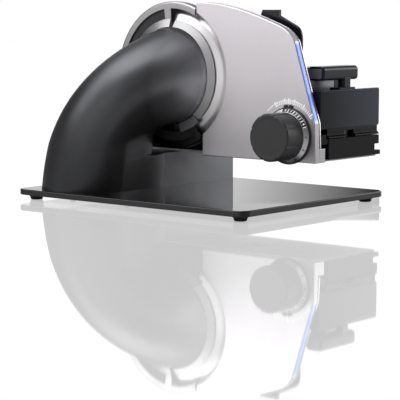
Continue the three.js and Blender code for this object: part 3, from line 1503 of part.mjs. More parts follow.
function powerButton() {
  const face = BUTTON_STAND + BEZEL_THICK;
  const profile = [
    [0, -ARM_WALL + 1],
    [BUTTON_RADIUS, -ARM_WALL + 1],
    [BUTTON_RADIUS, face - 1],
    [BUTTON_RADIUS - 1, face],
    [BUTTON_RADIUS - 4, face - 0.5],
    [0, face - 0.8],
  ];
  return turned(ALONG_Y, profile, MIDDLE);
}

function switchBody() {
  const half = SWITCH_SIZE / 2;
  const front = -ARM_WALL - FLANK_LEAN - FIT;
  const back = -ARM_WALL - SWITCH_SIZE;
  const shell = box(-half, half, back, front, 2 - half, half - 2);
  const plungerWell = rod(ALONG_Y, BUTTON_RADIUS + RUN, -ARM_WALL - 6, 0);
  const pins = [-PIN_SPACING, 0, PIN_SPACING].map((x) =>
    box(x - 1.2, x + 1.2, back - PIN_LENGTH, back + 1, -0.5, 0.5),
  );
  return join(cut(shell, plungerWell), ...pins);
}

function cordInlet() {
  const outer = INLET_BORE + INLET_WALL;
  const profile = [
    [INLET_BORE, -ARM_WALL - 4],
    [outer, -ARM_WALL - 4],
    [outer, FIT],
    [INLET_FLANGE, FIT],
    [INLET_FLANGE, 2],
    [INLET_FLANGE - 2, 3.6],
    [INLET_BORE + 1, 3.6],
    [INLET_BORE, 2.6],
    [INLET_BORE, -ARM_WALL - 4],
  ];
  return turned(ALONG_Y, profile, MIDDLE);
}

function powerBoard() {
  const top = DECK + FOOT_ROOF - BOARD_DROP - FIT;
  const under = top - BOARD_THICK;
  const end = BOARD_X + BOARD_WIDTH;
  const sheet = box(BOARD_X, end, BOARD_Y, BOARD_Y + BOARD_DEPTH, under, top);
  const chokeX = BOARD_X + 6;
  const chokeY = BOARD_Y + 8;
  const choke = box(chokeX, chokeX + CHOKE_SIZE, chokeY, chokeY + CHOKE_SIZE, under - 12, under + 0.5);
  const can = rod(ALONG_Z, 5, under - 14, under + 0.5);
  return join(sheet, choke, can.translate([end - 12, BOARD_Y + 12, 0]));
}

piece(machine, "switch_bezel", darkPlastic, switchBezel().translate(flankPlace(SWITCH_X)));
piece(machine, "power_button", darkPlastic, powerButton().translate(flankPlace(SWITCH_X)));
piece(machine, "switch_body", darkPlastic, switchBody().translate(flankPlace(SWITCH_X)));
piece(machine, "cord_inlet", rubber, cordInlet().translate(flankPlace(INLET_X)));
piece(machine, "power_board", boardGreen, powerBoard());

export default slicer;
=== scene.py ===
# %% [markdown]
# # Electric food slicer
# A kitchen slicer on a black glass base. A hollow arm leans over the base and carries a round
# blade, a silver stop plate with a dial sets the slice thickness, and a carriage with a pusher
# runs along a beam on the food side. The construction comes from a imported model, and this lesson
# dresses it: each visible piece is modelled again with finer edges, and each gets its finish.

# %% Load the construction
import json
import math

import bmesh
import bpy
from mathutils import Matrix, Vector
from mathutils.geometry import interpolate_bezier


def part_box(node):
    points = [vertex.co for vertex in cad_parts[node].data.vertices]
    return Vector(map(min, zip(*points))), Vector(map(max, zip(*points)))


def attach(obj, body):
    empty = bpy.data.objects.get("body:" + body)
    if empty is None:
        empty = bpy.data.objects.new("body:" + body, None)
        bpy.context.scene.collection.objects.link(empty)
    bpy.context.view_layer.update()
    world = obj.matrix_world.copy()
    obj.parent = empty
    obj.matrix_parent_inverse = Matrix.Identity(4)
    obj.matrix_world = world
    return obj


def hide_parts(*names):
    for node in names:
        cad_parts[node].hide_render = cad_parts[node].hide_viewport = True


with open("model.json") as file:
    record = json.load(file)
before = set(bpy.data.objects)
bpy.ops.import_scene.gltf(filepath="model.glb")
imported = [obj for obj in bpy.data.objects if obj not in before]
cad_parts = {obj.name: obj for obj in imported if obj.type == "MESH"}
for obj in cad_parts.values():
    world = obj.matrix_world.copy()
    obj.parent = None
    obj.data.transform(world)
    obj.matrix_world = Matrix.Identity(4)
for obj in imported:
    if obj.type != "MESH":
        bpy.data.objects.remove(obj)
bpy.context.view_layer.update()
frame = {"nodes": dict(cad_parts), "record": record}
scene = bpy.context.scene
scene.view_settings.view_transform = "Standard"

# %% [markdown]
# The pieces are drawn in millimetres from the corner of the glass base that is nearest the
# operator on the slice side, because that is how a maker would measure them. One matrix then
# brings a finished mesh to the frame's metres. The places of pieces that the frame already holds
# are read from it, so a new surface can't drift away from what it covers.

# %% Measure from the corner of the base
MM = 0.001
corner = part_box("base_plate")[0]
TO_FRAME = Matrix.Translation((corner.x, corner.y, 0)) @ Matrix.Scale(MM, 4)
TO_MAKER = TO_FRAME.inverted()


def corners(node):
    """The lowest and highest corner of a node, in the maker's millimetres."""
    low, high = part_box(node)
    return TO_MAKER @ low, TO_MAKER @ high


def middle(node):
    low, high = corners(node)
    return (low + high) / 2


DECK = corners("base_plate")[1].z
BLADE_AXIS = middle("blade")
KNOB_AXIS = middle("knob_cap")
print("deck at", round(DECK, 2), "mm, blade axis at", [round(v, 1) for v in BLADE_AXIS.yz])

# %% [markdown]
# The camera stands on the slice side, a little above the base, and looks along it with a long
# lens. Its place was found by fitting the corners of the base, its feet and the ring round the
# blade. A long lens keeps the ring almost as round as it is.

# %% Camera
VIEW_FROM = Vector((-1.5446, -1.3128, 0.2383))
VIEW_ALONG = Vector((0.7560, 0.6441, -0.1165))
LENS_MM = 145.7

view = bpy.data.cameras.new("camera")
view.lens = LENS_MM
view.sensor_width = 36
camera = bpy.data.objects.new("camera", view)
camera.location = VIEW_FROM
camera.rotation_euler = VIEW_ALONG.to_track_quat("-Z", "Y").to_euler()
scene.collection.objects.link(camera)
scene.camera = camera
print("camera lens", LENS_MM, "mm")

# %% [markdown]
# A material, and the world too, is a tree of shader nodes. In the editor they are added and linked
# by hand. Here a few helpers add a node, set or link its inputs and hand on its output, so that a
# finish reads almost like a formula.

# %% Helpers for shader nodes
def add_node(tree, kind, inputs=None, **settings):
    """A shader node with its settings, and its inputs set to values or linked to sockets."""
    made = tree.nodes.new("ShaderNode" + kind)
    for name, value in settings.items():
        setattr(made, name, value)
    for key, value in (inputs or {}).items():
        if isinstance(value, bpy.types.NodeSocket):
            tree.links.new(value, made.inputs[key])
        else:
            made.inputs[key].default_value = value
    return made


def maths(tree, operation, first, second):
    return add_node(tree, "Math", {0: first, 1: second}, operation=operation).outputs[0]


def measure(tree, operation, vector, direction=(0, 0, 0)):
    """One number from a vector: its length, or its reach along a direction."""
    inputs = {0: vector, 1: direction}
    return add_node(tree, "VectorMath", inputs, operation=operation).outputs["Value"]


def spread(tree, value, start=0, end=1, low=0, high=1):
    """A value taken from one range to another, and held inside it."""
    inputs = {"Value": value, "From Min": start, "From Max": end, "To Min": low, "To Max": high}
    return add_node(tree, "MapRange", inputs).outputs["Result"]


def times(tree, first, second):
    inputs = {"Factor": 1, "A": first, "B": second}
    mix = add_node(tree, "Mix", inputs, data_type="RGBA", blend_type="MULTIPLY")
    return mix.outputs["Result"]


def blend(tree, share, first, second):
    return add_node(tree, "MixShader", {0: share, 1: first, 2: second}).outputs[0]


def ramp(tree, value, stops):
    node = add_node(tree, "ValToRGB", {"Fac": value})
    while len(node.color_ramp.elements) < len(stops):
        node.color_ramp.elements.new(1)
    for element, (place, colour) in zip(node.color_ramp.elements, stops):
        element.position = place
        element.color = (*colour, 1)
    return node.outputs["Color"]


def seen_ray(tree):
    """The camera's rays, and those from the camera, a mirror or through glass, as one or zero."""
    rays = add_node(tree, "LightPath").outputs
    direct = maths(tree, "MAXIMUM", rays["Is Camera Ray"], rays["Is Glossy Ray"])
    return rays["Is Camera Ray"], maths(tree, "MAXIMUM", direct, rays["Is Transmission Ray"])


print("node helpers ready")

# %% [markdown]
# The studio is white behind the object and at its sides, opens to a dark room in front of the
# operator and has a grey screen on the far left. Seen directly the surroundings are white. In a
# reflection they are white near the horizon, and darker overhead, towards the room and at the
# screen, which gives metal, satin paint and glass their long gradients. Light Path tells the rays
# apart, so the backdrop adds no light of its own.

# %% Studio surroundings
WHITE = (1, 1, 1)
FULL_WHITE = (1, 1, 1, 1)
AMBIENT = 0.19
DARK_SIDE = Vector((-0.35, -0.94, 0))
DARK_WIDTH = 62
SCREEN_SIDE = Vector((-0.087, 0.996, 0))
SCREEN_WIDTH = 44

world = bpy.data.worlds.new("studio")
scene.world = world
world.use_nodes = True
sky = world.node_tree
sky.nodes.clear()
direction = add_node(sky, "TexCoord").outputs["Generated"]


def shade_towards(side, widest, stops):
    """A shade from how closely a direction points to one side, from a widest angle inwards."""
    close = measure(sky, "DOT_PRODUCT", direction, side)
    return ramp(sky, spread(sky, close, math.cos(math.radians(widest))), stops)


upwards = add_node(sky, "SeparateXYZ", {0: direction}).outputs["Z"]
dome_stops = [(0.60, WHITE), (0.72, (0.24, 0.24, 0.25)), (1.0, (0.30, 0.30, 0.31))]
dome = ramp(sky, spread(sky, upwards, -1), dome_stops)
room_stops = [(0.0, WHITE), (0.45, (0.5, 0.5, 0.51)), (0.75, (0.07, 0.07, 0.075))]
room = shade_towards(DARK_SIDE, DARK_WIDTH, room_stops)
screen = shade_towards(SCREEN_SIDE, SCREEN_WIDTH, [(0.0, WHITE), (0.5, (0.14, 0.14, 0.145))])
around = times(sky, times(sky, dome, room), screen)
from_camera, seen = seen_ray(sky)
mirrored = add_node(sky, "Background", {"Color": around}).outputs[0]
backdrop = add_node(sky, "Background", {"Color": FULL_WHITE}).outputs[0]
ambient = add_node(sky, "Background", {"Color": FULL_WHITE, "Strength": AMBIENT}).outputs[0]
whole = blend(sky, seen, ambient, blend(sky, from_camera, mirrored, backdrop))
add_node(sky, "OutputWorld", {"Surface": whole})
print("studio surroundings ready")

# %% [markdown]
# The floor is a glossy white table that ends a little in front of the object. Its own white is
# partly lit, so that it keeps the object's shadow, and a clear layer on top gives the mirror
# image, which fades because a white table shines through it. In a reflection the table is a
# little darker than the backdrop.

# %% Floor
FLOOR_SIZE = 12.0
FLOOR_WHITE = (0.85, 0.85, 0.85, 1)
FLOOR_GLOW = 0.72
FLOOR_LIGHT = 1.32
FLOOR_REFLECTED = 0.62
FLOOR_NEAR = 1.15
FLOOR_MIRROR = 0.5
FLOOR_ROUGH = 0.03


def bare_material(name):
    """A new material without any nodes."""
    material = bpy.data.materials.new(name)
    material.use_nodes = True
    material.node_tree.nodes.clear()
    return material


def studio_sheet(name, bm, material):
    """A flat piece of the studio, made from a bmesh in metres."""
    mesh = bpy.data.meshes.new(name)
    bm.to_mesh(mesh)
    bm.free()
    mesh.materials.append(material)
    sheet = bpy.data.objects.new(name, mesh)
    scene.collection.objects.link(sheet)
    return sheet


floor_finish = bare_material("white_table")
table = floor_finish.node_tree
from_camera, seen = seen_ray(table)
lit = add_node(table, "BsdfDiffuse", {"Color": FLOOR_WHITE}).outputs[0]
level = spread(table, from_camera, 0, 1, FLOOR_REFLECTED, FLOOR_LIGHT)
glow = add_node(table, "Emission", {"Color": FULL_WHITE, "Strength": level}).outputs[0]
shine = add_node(table, "BsdfGlossy", {"Color": FULL_WHITE, "Roughness": FLOOR_ROUGH}).outputs[0]
polished = blend(table, FLOOR_MIRROR, blend(table, FLOOR_GLOW, lit, glow), shine)
add_node(table, "OutputMaterial", {"Surface": blend(table, seen, lit, polished)})

bm = bmesh.new()
bmesh.ops.create_grid(bm, x_segments=1, y_segments=1, size=FLOOR_SIZE / 2)
bmesh.ops.translate(bm, vec=(FLOOR_SIZE / 2 - FLOOR_NEAR, 0, 0), verts=bm.verts)
heading = math.atan2(VIEW_ALONG.y, VIEW_ALONG.x)
bmesh.ops.rotate(bm, cent=(0, 0, 0), matrix=Matrix.Rotation(heading, 3, "Z"), verts=bm.verts)
floor = studio_sheet("floor", bm, floor_finish)
print("floor", FLOOR_SIZE, "m wide")

# %% [markdown]
# Two dark cards that only mirrors see shape the reflections. A narrow one hangs behind the food
# side, a hand's width above the table, and makes the glass base fade from bright beside the arm to
# dark at its right corner. A large one lies on the table behind the arm and keeps the paint dark
# low down on its far side. Each card is clear at one end and grows darker along its length, and
# it doesn't show from behind or in a surface close to it, so the table doesn't mirror it.

# %% Dark cards
CARD_NEAREST = 0.39
CARD_BLACK = (0.02, 0.02, 0.02, 1)


def dark_card(name, outline, along, clear_at, dark_at, darkest):
    """A flat card whose shade grows along a direction, between two distances from the origin."""
    material = bare_material(name)
    tree = material.node_tree
    position = add_node(tree, "TexCoord").outputs["Object"]
    reach = measure(tree, "DOT_PRODUCT", position, along)
    density = spread(tree, reach, clear_at, dark_at, 0, darkest)
    behind = add_node(tree, "NewGeometry").outputs["Backfacing"]
    distance = add_node(tree, "LightPath").outputs["Ray Length"]
    far = maths(tree, "GREATER_THAN", distance, CARD_NEAREST)
    shown = maths(tree, "MULTIPLY", far, spread(tree, behind, 0, 1, 1, 0))
    shade = maths(tree, "MULTIPLY", density, shown)
    clear = add_node(tree, "BsdfTransparent").outputs[0]
    black = add_node(tree, "BsdfDiffuse", {"Color": CARD_BLACK}).outputs[0]
    add_node(tree, "OutputMaterial", {"Surface": blend(tree, shade, clear, black)})
    bm = bmesh.new()
    bm.faces.new([bm.verts.new(point) for point in outline])
    card = studio_sheet(name, bm, material)
    card.visible_camera = False
    card.visible_diffuse = False
    card.visible_shadow = False
    card.visible_transmission = False


HUNG_AT = 2.6
HUNG_HEIGHT = (0.054, 0.100)
HUNG_ASIDE = (0.06, 0.29)
MAT = [(-0.42, 0.19, 0.001), (0.30, 0.19, 0.001), (0.30, 1.3, 0.001), (-0.62, 1.3, 0.001)]
MAT_CLEAR_AT, MAT_DARK_AT, MAT_DARKEST = -0.6, -0.3, 0.85

forward = Vector((VIEW_ALONG.x, VIEW_ALONG.y, 0)).normalized()
aside = Vector((forward.y, -forward.x, 0))
spot = VIEW_FROM + forward * HUNG_AT
hung = []
for end, top in [(0, 0), (1, 0), (1, 1), (0, 1)]:
    point = spot + aside * HUNG_ASIDE[end]
    hung.append(Vector((point.x, point.y, HUNG_HEIGHT[top])))
hung_ends = [aside.dot(VIEW_FROM) + end for end in HUNG_ASIDE]
dark_card("hung_card", hung, aside, *hung_ends, 1.0)
dark_card("table_card", MAT, (1, 0, 0), MAT_CLEAR_AT, MAT_DARK_AT, MAT_DARKEST)
print("two cards placed")

# %% [markdown]
# Three large soft lamps light the object. The key lamp hangs over the arm and draws the long
# highlight along it, one stands behind the slice side and brightens the metal ring, and one fills
# from the operator's side. Their levels are low enough that a colour renders about as it is
# written. Each lamp is made twice, once for the object and once for the table, and light linking
# keeps the two apart. The table's own lamps don't show in a mirror, so no bright square lies on it.

# %% Lamps
LAMPS = [
    ("key", (-0.5, 0.3, 1.7), 1.7, 24),
    ("ring_light", (-1.4, 1.2, 1.05), 1.0, 8),
    ("operator_fill", (2.0, -1.0, 0.8), 1.0, 9),
]
LIT_POINT = Vector((0, 0, 0.12))


def lit_group(name, state):
    """A light group that holds only the floor, or everything but the floor."""
    group = bpy.data.collections.new(name)
    group.objects.link(floor)
    group.collection_objects[0].light_linking.link_state = state
    return group


LIT_GROUPS = [lit_group("object_side", "EXCLUDE"), lit_group("table_side", "INCLUDE")]
for name, place, size, power in LAMPS:
    lamp = bpy.data.lights.new(name, "AREA")
    lamp.shape = "SQUARE"
    lamp.size = size
    lamp.energy = power
    for group in LIT_GROUPS:
        holder = bpy.data.objects.new(f"{name}_{group.name}", lamp)
        holder.location = place
        holder.rotation_euler = (LIT_POINT - Vector(place)).to_track_quat("-Z", "Y").to_euler()
        holder.light_linking.receiver_collection = group
        holder.visible_glossy = group == LIT_GROUPS[0]
        scene.collection.objects.link(holder)
print(len(LAMPS), "lamps")

# %% [markdown]
# A finish is a principled shader with some life in it: no real paint, casting or moulding has one
# flat colour. Each starts from the same helper, which varies the colour and the gloss a little
# with a broad noise and adds a fine grain as bump. Patterns read object coordinates, so they stay
# on the piece when it moves.

# %% Helpers for finishes
BROAD_NOISE = 14
GLOSS_NOISE = 45
NOISE_RANGE = (0.3, 0.7)


def mapped(tree, centre=(0, 0, 0), scale=(1, 1, 1)):
    """Object coordinates, moved so that a centre is the origin, and scaled."""
    position = add_node(tree, "TexCoord").outputs["Object"]
    shift = [-c * s for c, s in zip(centre, scale)]
    inputs = {"Vector": position, "Scale": scale, "Location": shift}
    return add_node(tree, "Mapping", inputs).outputs["Vector"]


def noise(tree, vector, scale, detail=2.0):
    inputs = {"Vector": vector, "Scale": scale, "Detail": detail}
    return add_node(tree, "TexNoise", inputs).outputs["Fac"]


def shader_of(material):
    return material.node_tree.nodes["Principled BSDF"]


def relief(material, height, depth_mm):
    tree = material.node_tree
    bump = add_node(tree, "Bump", {"Distance": depth_mm * MM, "Height": height})
    tree.links.new(bump.outputs["Normal"], shader_of(material).inputs["Normal"])


def tinted(colour, factor):
    return tuple(min(1.0, channel * factor) for channel in colour)


def finish(name, colour, gloss, metallic, vary, grain, depth_mm, shine=0.5):
    """A surface with a broad colour variation, a range of roughness and a fine grain."""
    material = bpy.data.materials.new(name)
    material.use_nodes = True
    tree = material.node_tree
    shader = shader_of(material)
    shader.inputs["Metallic"].default_value = metallic
    shader.inputs["Specular IOR Level"].default_value = shine
    place = mapped(tree)
    shades = zip(NOISE_RANGE, (tinted(colour, 1 - vary), tinted(colour, 1 + vary)))
    tint = ramp(tree, noise(tree, place, BROAD_NOISE, 3), list(shades))
    rough = spread(tree, noise(tree, place, GLOSS_NOISE), *NOISE_RANGE, *gloss)
    tree.links.new(tint, shader.inputs["Base Color"])
    tree.links.new(rough, shader.inputs["Roughness"])
    if depth_mm:
        relief(material, noise(tree, place, grain), depth_mm)
    return material


print("finish helpers ready")

# %% [markdown]
# Painted and moulded surfaces. The arm has a charcoal satin paint with a very fine texture, the
# stop plate a pale, slightly warm silver, and the carriage is moulded in polished black. The base
# is black glass: almost no colour of its own, and a clear mirror at a low angle.

# %% Painted, moulded and glass finishes
PRINT_GLOW = 0.35
# The arm's paint starts pale; painted shade further down darkens it to charcoal, and a painted
# reflection keeps its mouth bright.
charcoal = finish("charcoal_paint", (0.80, 0.81, 0.86), (0.36, 0.42), 0.8, 0.04, 1500, 0.005, 0.3)
knob_charcoal = finish("knob_charcoal", (0.030, 0.029, 0.032), (0.42, 0.50), 0, 0.05, 1800, 0.006)
silver = finish("silver_paint", (0.81, 0.775, 0.81), (0.34, 0.40), 0.72, 0.02, 2400, 0.003)
gloss_black = finish("polished_black", (0.01, 0.012, 0.019), (0.2, 0.26), 0, 0.1, 400, 0.002, 0.32)
# The carriage front's black, darkened beside the plate and on the apron by painted shade further
# down.
painted_shade_black = finish("painted_shade_black", (0.085, 0.09, 0.115), (0.20, 0.26), 0, 0.05, 400, 0.002, 0.12)
beam_black = finish("beam_black", (0.007, 0.007, 0.009), (0.30, 0.36), 0, 0.1, 900, 0.004, 0.10)
black_glass = finish("black_glass", (0.006, 0.006, 0.007), (0.03, 0.045), 0, 0.2, 60, 0)
dark_plastic = finish("dark_plastic", (0.020, 0.020, 0.022), (0.42, 0.55), 0, 0.08, 1600, 0.012)
grey_plastic = finish("grey_plastic", (0.14, 0.145, 0.17), (0.34, 0.42), 0, 0.06, 1600, 0.008)
rubber = finish("rubber", (0.012, 0.012, 0.012), (0.70, 0.82), 0, 0.12, 1200, 0.02)
pale_grey = finish("pale_grey", (0.30, 0.305, 0.33), (0.26, 0.32), 0.8, 0.05, 1600, 0.004)
pale_cover = finish("pale_cover", (0.52, 0.52, 0.53), (0.50, 0.60), 0, 0.03, 1400, 0.01)
nylon = finish("nylon", (0.66, 0.64, 0.57), (0.45, 0.55), 0, 0.03, 900, 0.01)
glowing_white_print = finish("glowing_white_print", (0.88, 0.87, 0.88), (0.45, 0.55), 0, 0.02, 1500, 0.004)
# The white print glows a little, a painted light that keeps the marks bright in shade.
shader_of(glowing_white_print).inputs["Emission Color"].default_value = FULL_WHITE
shader_of(glowing_white_print).inputs["Emission Strength"].default_value = PRINT_GLOW
dark_print = finish("dark_print", (0.02, 0.02, 0.022), (0.45, 0.55), 0, 0.05, 1500, 0.004)
print("paint, plastic and glass finishes ready")

# %% [markdown]
# Machined metal shows the tool's path. On the blade, the guard and the dial the lines run round
# an axis, so the height of the bump is a noise along one number: the distance from that axis. On
# bars and sheets the lines run straight, which a noise stretched along one direction gives.

# %% Machined finishes
BRUSH_LINES = 900
BRUSH_DEPTH = 0.004


def turned_finish(name, colour, gloss, centre, lines=2600, depth_mm=0.004, metallic=1.0):
    """Metal with fine rings round an axis along X through the centre."""
    material = finish(name, colour, gloss, metallic, 0.05, 900, 0)
    tree = material.node_tree
    radius = measure(tree, "LENGTH", mapped(tree, centre, (0, 1, 1)))
    inputs = {"W": radius, "Scale": lines, "Detail": 3}
    rings = add_node(tree, "TexNoise", inputs, noise_dimensions="1D").outputs["Fac"]
    relief(material, rings, depth_mm)
    return material


def brushed_finish(name, colour, gloss, stretch):
    """Metal with straight lines, from a noise that is drawn out along one direction."""
    material = finish(name, colour, gloss, 1.0, 0.04, 900, 0)
    tree = material.node_tree
    lines = noise(tree, mapped(tree, (0, 0, 0), stretch), BRUSH_LINES, 3)
    relief(material, lines, BRUSH_DEPTH)
    return material


ALONG_X = (0.03, 1, 1)
ALONG_Y = (1, 0.03, 1)
blade_centre = TO_FRAME @ BLADE_AXIS
knob_centre = TO_FRAME @ KNOB_AXIS


def ring_finish(name, colour, gloss, lines, depth_mm, metallic=1.0):
    return turned_finish(name, colour, gloss, blade_centre, lines, depth_mm, metallic)


cast_silver = ring_finish("cast_silver", (0.42, 0.41, 0.42), (0.26, 0.34), 2600, 0.004)
collar_silver = ring_finish("collar_silver", (0.52, 0.51, 0.52), (0.40, 0.48), 1500, 0.005, 0.7)
lug_metal = ring_finish("lug_metal", (0.30, 0.30, 0.31), (0.34, 0.42), 1500, 0.005, 0.8)
blade_steel = ring_finish("blade_steel", (0.76, 0.74, 0.75), (0.30, 0.36), 3200, 0.004)
dial_metal = turned_finish("dial_metal", (0.82, 0.80, 0.82), (0.32, 0.40), knob_centre)
sheet_steel = brushed_finish("sheet_steel", (0.62, 0.61, 0.62), (0.26, 0.34), ALONG_Y)
bright_steel = brushed_finish("bright_steel", (0.58, 0.58, 0.59), (0.22, 0.30), ALONG_X)
aluminium = brushed_finish("aluminium", (0.56, 0.56, 0.58), (0.32, 0.42), ALONG_Y)
dark_steel = brushed_finish("dark_steel", (0.10, 0.10, 0.105), (0.34, 0.44), ALONG_Y)
brass = brushed_finish("brass", (0.52, 0.36, 0.13), (0.24, 0.32), ALONG_X)
print("machined finishes ready")

# %% [markdown]
# Large pieces get painted light and shade in their colour, so they aren't equally bright all over.
# The guard is painted dark below, a painted shade where it passes under the arm. The arm's paint
# gets a painted reflection that brightens it where its mouth meets the collar and at the end of its
# foot, and painted shade along its crest, on its outer side, at the heel and near the base. The
# plate's silver gets painted shade towards its lower edge, and the carriage's front painted shade
# beside the plate and on its apron. Such a change could be painted on the vertices, but a ramp on
# object coordinates needs no fine mesh.

# %% Painted light and shade on large pieces
def shaded_along(material, centre, direction, start_mm, end_mm, *stops):
    """Multiplies a finish's colour by a ramp along a direction, or all round a centre, to paint
    light and shade.
    """
    tree = material.node_tree
    colour = shader_of(material).inputs["Base Color"]
    operation = "DOT_PRODUCT" if direction else "LENGTH"
    reach = measure(tree, operation, mapped(tree, centre), direction or (0, 0, 0))
    share = spread(tree, reach, start_mm * MM, end_mm * MM)
    factor = ramp(tree, share, [(place, (v, v, v)) for place, v in stops])
    tree.links.new(times(tree, colour.links[0].from_socket, factor), colour)


ORIGIN = (0, 0, 0)
ACROSS = (1, 0, 0)
UPWARDS = (0, 0, 1)
# Centres of the arm's painted reflection at its mouth and of its painted shade at the heel.
mouth_reflection_centre = TO_FRAME @ Vector((120, BLADE_AXIS.y - 57, BLADE_AXIS.z - 16))
heel_shade_centre = TO_FRAME @ Vector((104, 243, DECK + 22))
crest_shade_stops = [(0.0, 0.85), (0.57, 1.0), (0.70, 1.0), (0.88, 0.55), (1.0, 0.5)]
plate_shade_stops = [(0.0, 0.62), (0.23, 0.76), (0.55, 0.90), (1.0, 1.0)]

# Painted shade on the guard below, on the plate and on the carriage front; painted reflection and
# shade on the arm.
shaded_along(cast_silver, blade_centre, UPWARDS, -80, 60, (0.0, 0.10), (0.35, 0.4), (1.0, 1.0))
shaded_along(charcoal, mouth_reflection_centre, None, 16, 74, (0.0, 1.0), (0.45, 0.45), (1.0, 0.18))
shaded_along(charcoal, ORIGIN, UPWARDS, 30, 240, *crest_shade_stops)
shaded_along(charcoal, ORIGIN, -aside, 108, 168, (0.0, 1.0), (1.0, 0.46))
shaded_along(charcoal, heel_shade_centre, None, 14, 42, (0.0, 0.5), (1.0, 1.0))
shaded_along(charcoal, ORIGIN, ACROSS, 15, 110, (0.0, 0.9), (1.0, 2.0))
shaded_along(silver, ORIGIN, UPWARDS, 75, 230, *plate_shade_stops)
shaded_along(painted_shade_black, ORIGIN, ACROSS, -4, 119, (0.0, 0.08), (1.0, 1.0))
shaded_along(painted_shade_black, ORIGIN, UPWARDS, DECK + 80, DECK + 86, (0.0, 0.15), (1.0, 1.0))
print("gradients added")

# %% [markdown]
# The light strip is a clear guide with blue light inside and a lamp at each end. The glow is
# strongest along its middle, so the shader reads how far a point lies from the strip's centre
# plane and mixes a pale core with a deeper blue edge, and near both ends it turns white. The
# circuit boards only show inside, and are green, darker in broad patches.

# %% Light and circuit finishes
GLOW_HALF = 3.6
GLOW_STRENGTH = 0.8
LAMP_REACH = 6.0
GLOW_STOPS = [(0.0, (0.40, 0.50, 1.0)), (0.45, (0.13, 0.22, 0.82)), (1.0, (0.03, 0.06, 0.36))]

strip_centre = TO_FRAME @ middle("light_strip")
strip_ends = corners("light_strip")
half_length = (strip_ends[1] - strip_ends[0]).yz.length / 2
blue_light = finish("blue_light", (0.16, 0.26, 0.80), (0.16, 0.22), 0, 0.05, 900, 0)
tree = blue_light.node_tree
across = measure(tree, "LENGTH", mapped(tree, strip_centre, (1, 0, 0)))
core_glow = ramp(tree, spread(tree, across, 0, GLOW_HALF * MM), GLOW_STOPS)
along = measure(tree, "LENGTH", mapped(tree, strip_centre, (0, 1, 1)))
at_end = spread(tree, along, (half_length - LAMP_REACH) * MM, half_length * MM)
inputs = {"Factor": at_end, "A": core_glow, "B": FULL_WHITE}
lamp_glow = add_node(tree, "Mix", inputs, data_type="RGBA").outputs["Result"]
tree.links.new(lamp_glow, shader_of(blue_light).inputs["Emission Color"])
shader_of(blue_light).inputs["Emission Strength"].default_value = GLOW_STRENGTH

board_green = finish("board_green", (0.03, 0.14, 0.07), (0.4, 0.5), 0, 0.35, 300, 0.02)
print("light and circuit finishes ready")

# %% [markdown]
# Every new mesh goes through one door. It brings the mesh from millimetres to the frame, shades
# it smooth with sharp edges kept, gives it its finish, puts it on the body it rides on and hides
# the node it stands for. Where a flat face meets a rounded edge, the larger face sets the
# shading, so flats stay flat and mirror cleanly.

# %% Adding a piece
homes = {
    node: body
    for body, nodes in frame["record"]["behaviour"]["bodies"].items()
    for node in nodes
}


def add_mesh(name, mesh, material, node, stands_for=True, sharp=32):
    mesh.transform(TO_FRAME)
    mesh.materials.clear()
    mesh.materials.append(material)
    mesh.polygons.foreach_set("use_smooth", [True] * len(mesh.polygons))
    mesh.set_sharp_from_angle(angle=math.radians(sharp))
    mesh.update()
    piece = bpy.data.objects.new(name, mesh)
    scene.collection.objects.link(piece)
    weigh = piece.modifiers.new("weigh", "WEIGHTED_NORMAL")
    weigh.keep_sharp = True
    weighed = piece.evaluated_get(bpy.context.evaluated_depsgraph_get())
    piece.data = bpy.data.meshes.new_from_object(weighed)
    piece.modifiers.remove(weigh)
    bpy.data.meshes.remove(mesh)
    piece.data.name = name
    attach(piece, homes[node])
    if stands_for:
        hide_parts(node)
    return piece


def to_mesh(bm, name):
    mesh = bpy.data.meshes.new(name)
    bm.to_mesh(mesh)
    bm.free()
    return mesh


def add_piece(name, bm, material, node, stands_for=True, sharp=32):
    """Closes a bmesh in millimetres into a piece that stands for a node or sits on it."""
    bmesh.ops.remove_doubles(bm, verts=bm.verts, dist=1e-4)
    bmesh.ops.recalc_face_normals(bm, faces=bm.faces)
    return add_mesh(name, to_mesh(bm, name), material, node, stands_for, sharp)


# %% [markdown]
# Most mouldings here are blocks with rounded corners and softened edges. A cube is stretched to
# the node's own box, the four edges along one direction get the corner radius, and then every
# edge that is still sharp gets a small round. That second round is what catches the light.

# %% Rounded blocks
CORNER_STEPS = 8


def sharp_edges(bm, degrees=40):
    limit = math.radians(degrees)
    return [e for e in bm.edges if len(e.link_faces) == 2 and e.calc_face_angle() > limit]


def rounded(bm, geom, radius, segments, affect="EDGES"):
    bmesh.ops.bevel(
        bm,
        geom=geom,
        offset=radius,
        offset_type="OFFSET",
        segments=segments,
        profile=0.5,
        affect=affect,
        clamp_overlap=True,
        material=-1,
    )


def soften(bm, radius, segments=3):
    rounded(bm, sharp_edges(bm), radius, segments)


def block(low, high, along, corner_radius, edge_radius, segments=3):
    """A box between two corners, with rounded edges along one axis and softened edges."""
    bm = bmesh.new()
    bmesh.ops.create_cube(bm, size=1)
    low, high = Vector(low), Vector(high)
    bmesh.ops.scale(bm, vec=high - low, verts=bm.verts)
    bmesh.ops.translate(bm, vec=(low + high) / 2, verts=bm.verts)
    if corner_radius:
        ways = [(e, (e.verts[0].co - e.verts[1].co).normalized()) for e in bm.edges]
        rounded(bm, [e for e, way in ways if abs(way[along]) > 0.9], corner_radius, CORNER_STEPS)
    if edge_radius:
        soften(bm, edge_radius, segments)
    return bm


def block_for(node, along, corner_radius, edge_radius):
    return block(*corners(node), along, corner_radius, edge_radius)


add_piece("glass_base", block_for("base_plate", 2, 15, 1.3), black_glass, "base_plate")
add_piece("stop_bar", block_for("stop_foot", 0, 0, 0.8), silver, "stop_foot")
runner = block_for("carriage_glide", 2, 4, 0.8)
add_piece("carriage_runner", runner, dark_plastic, "carriage_glide")
print("rounded blocks made")

# %% [markdown]
# Some mouldings have grooves, ribs and ledges that the frame's solids already show. For those a
# copy of the node is welded, its flat faces are joined again and its long sharp edges are
# rounded. The short edges round small holes stay as they are.

# %% Softened copies of solids
FLAT = math.radians(1)


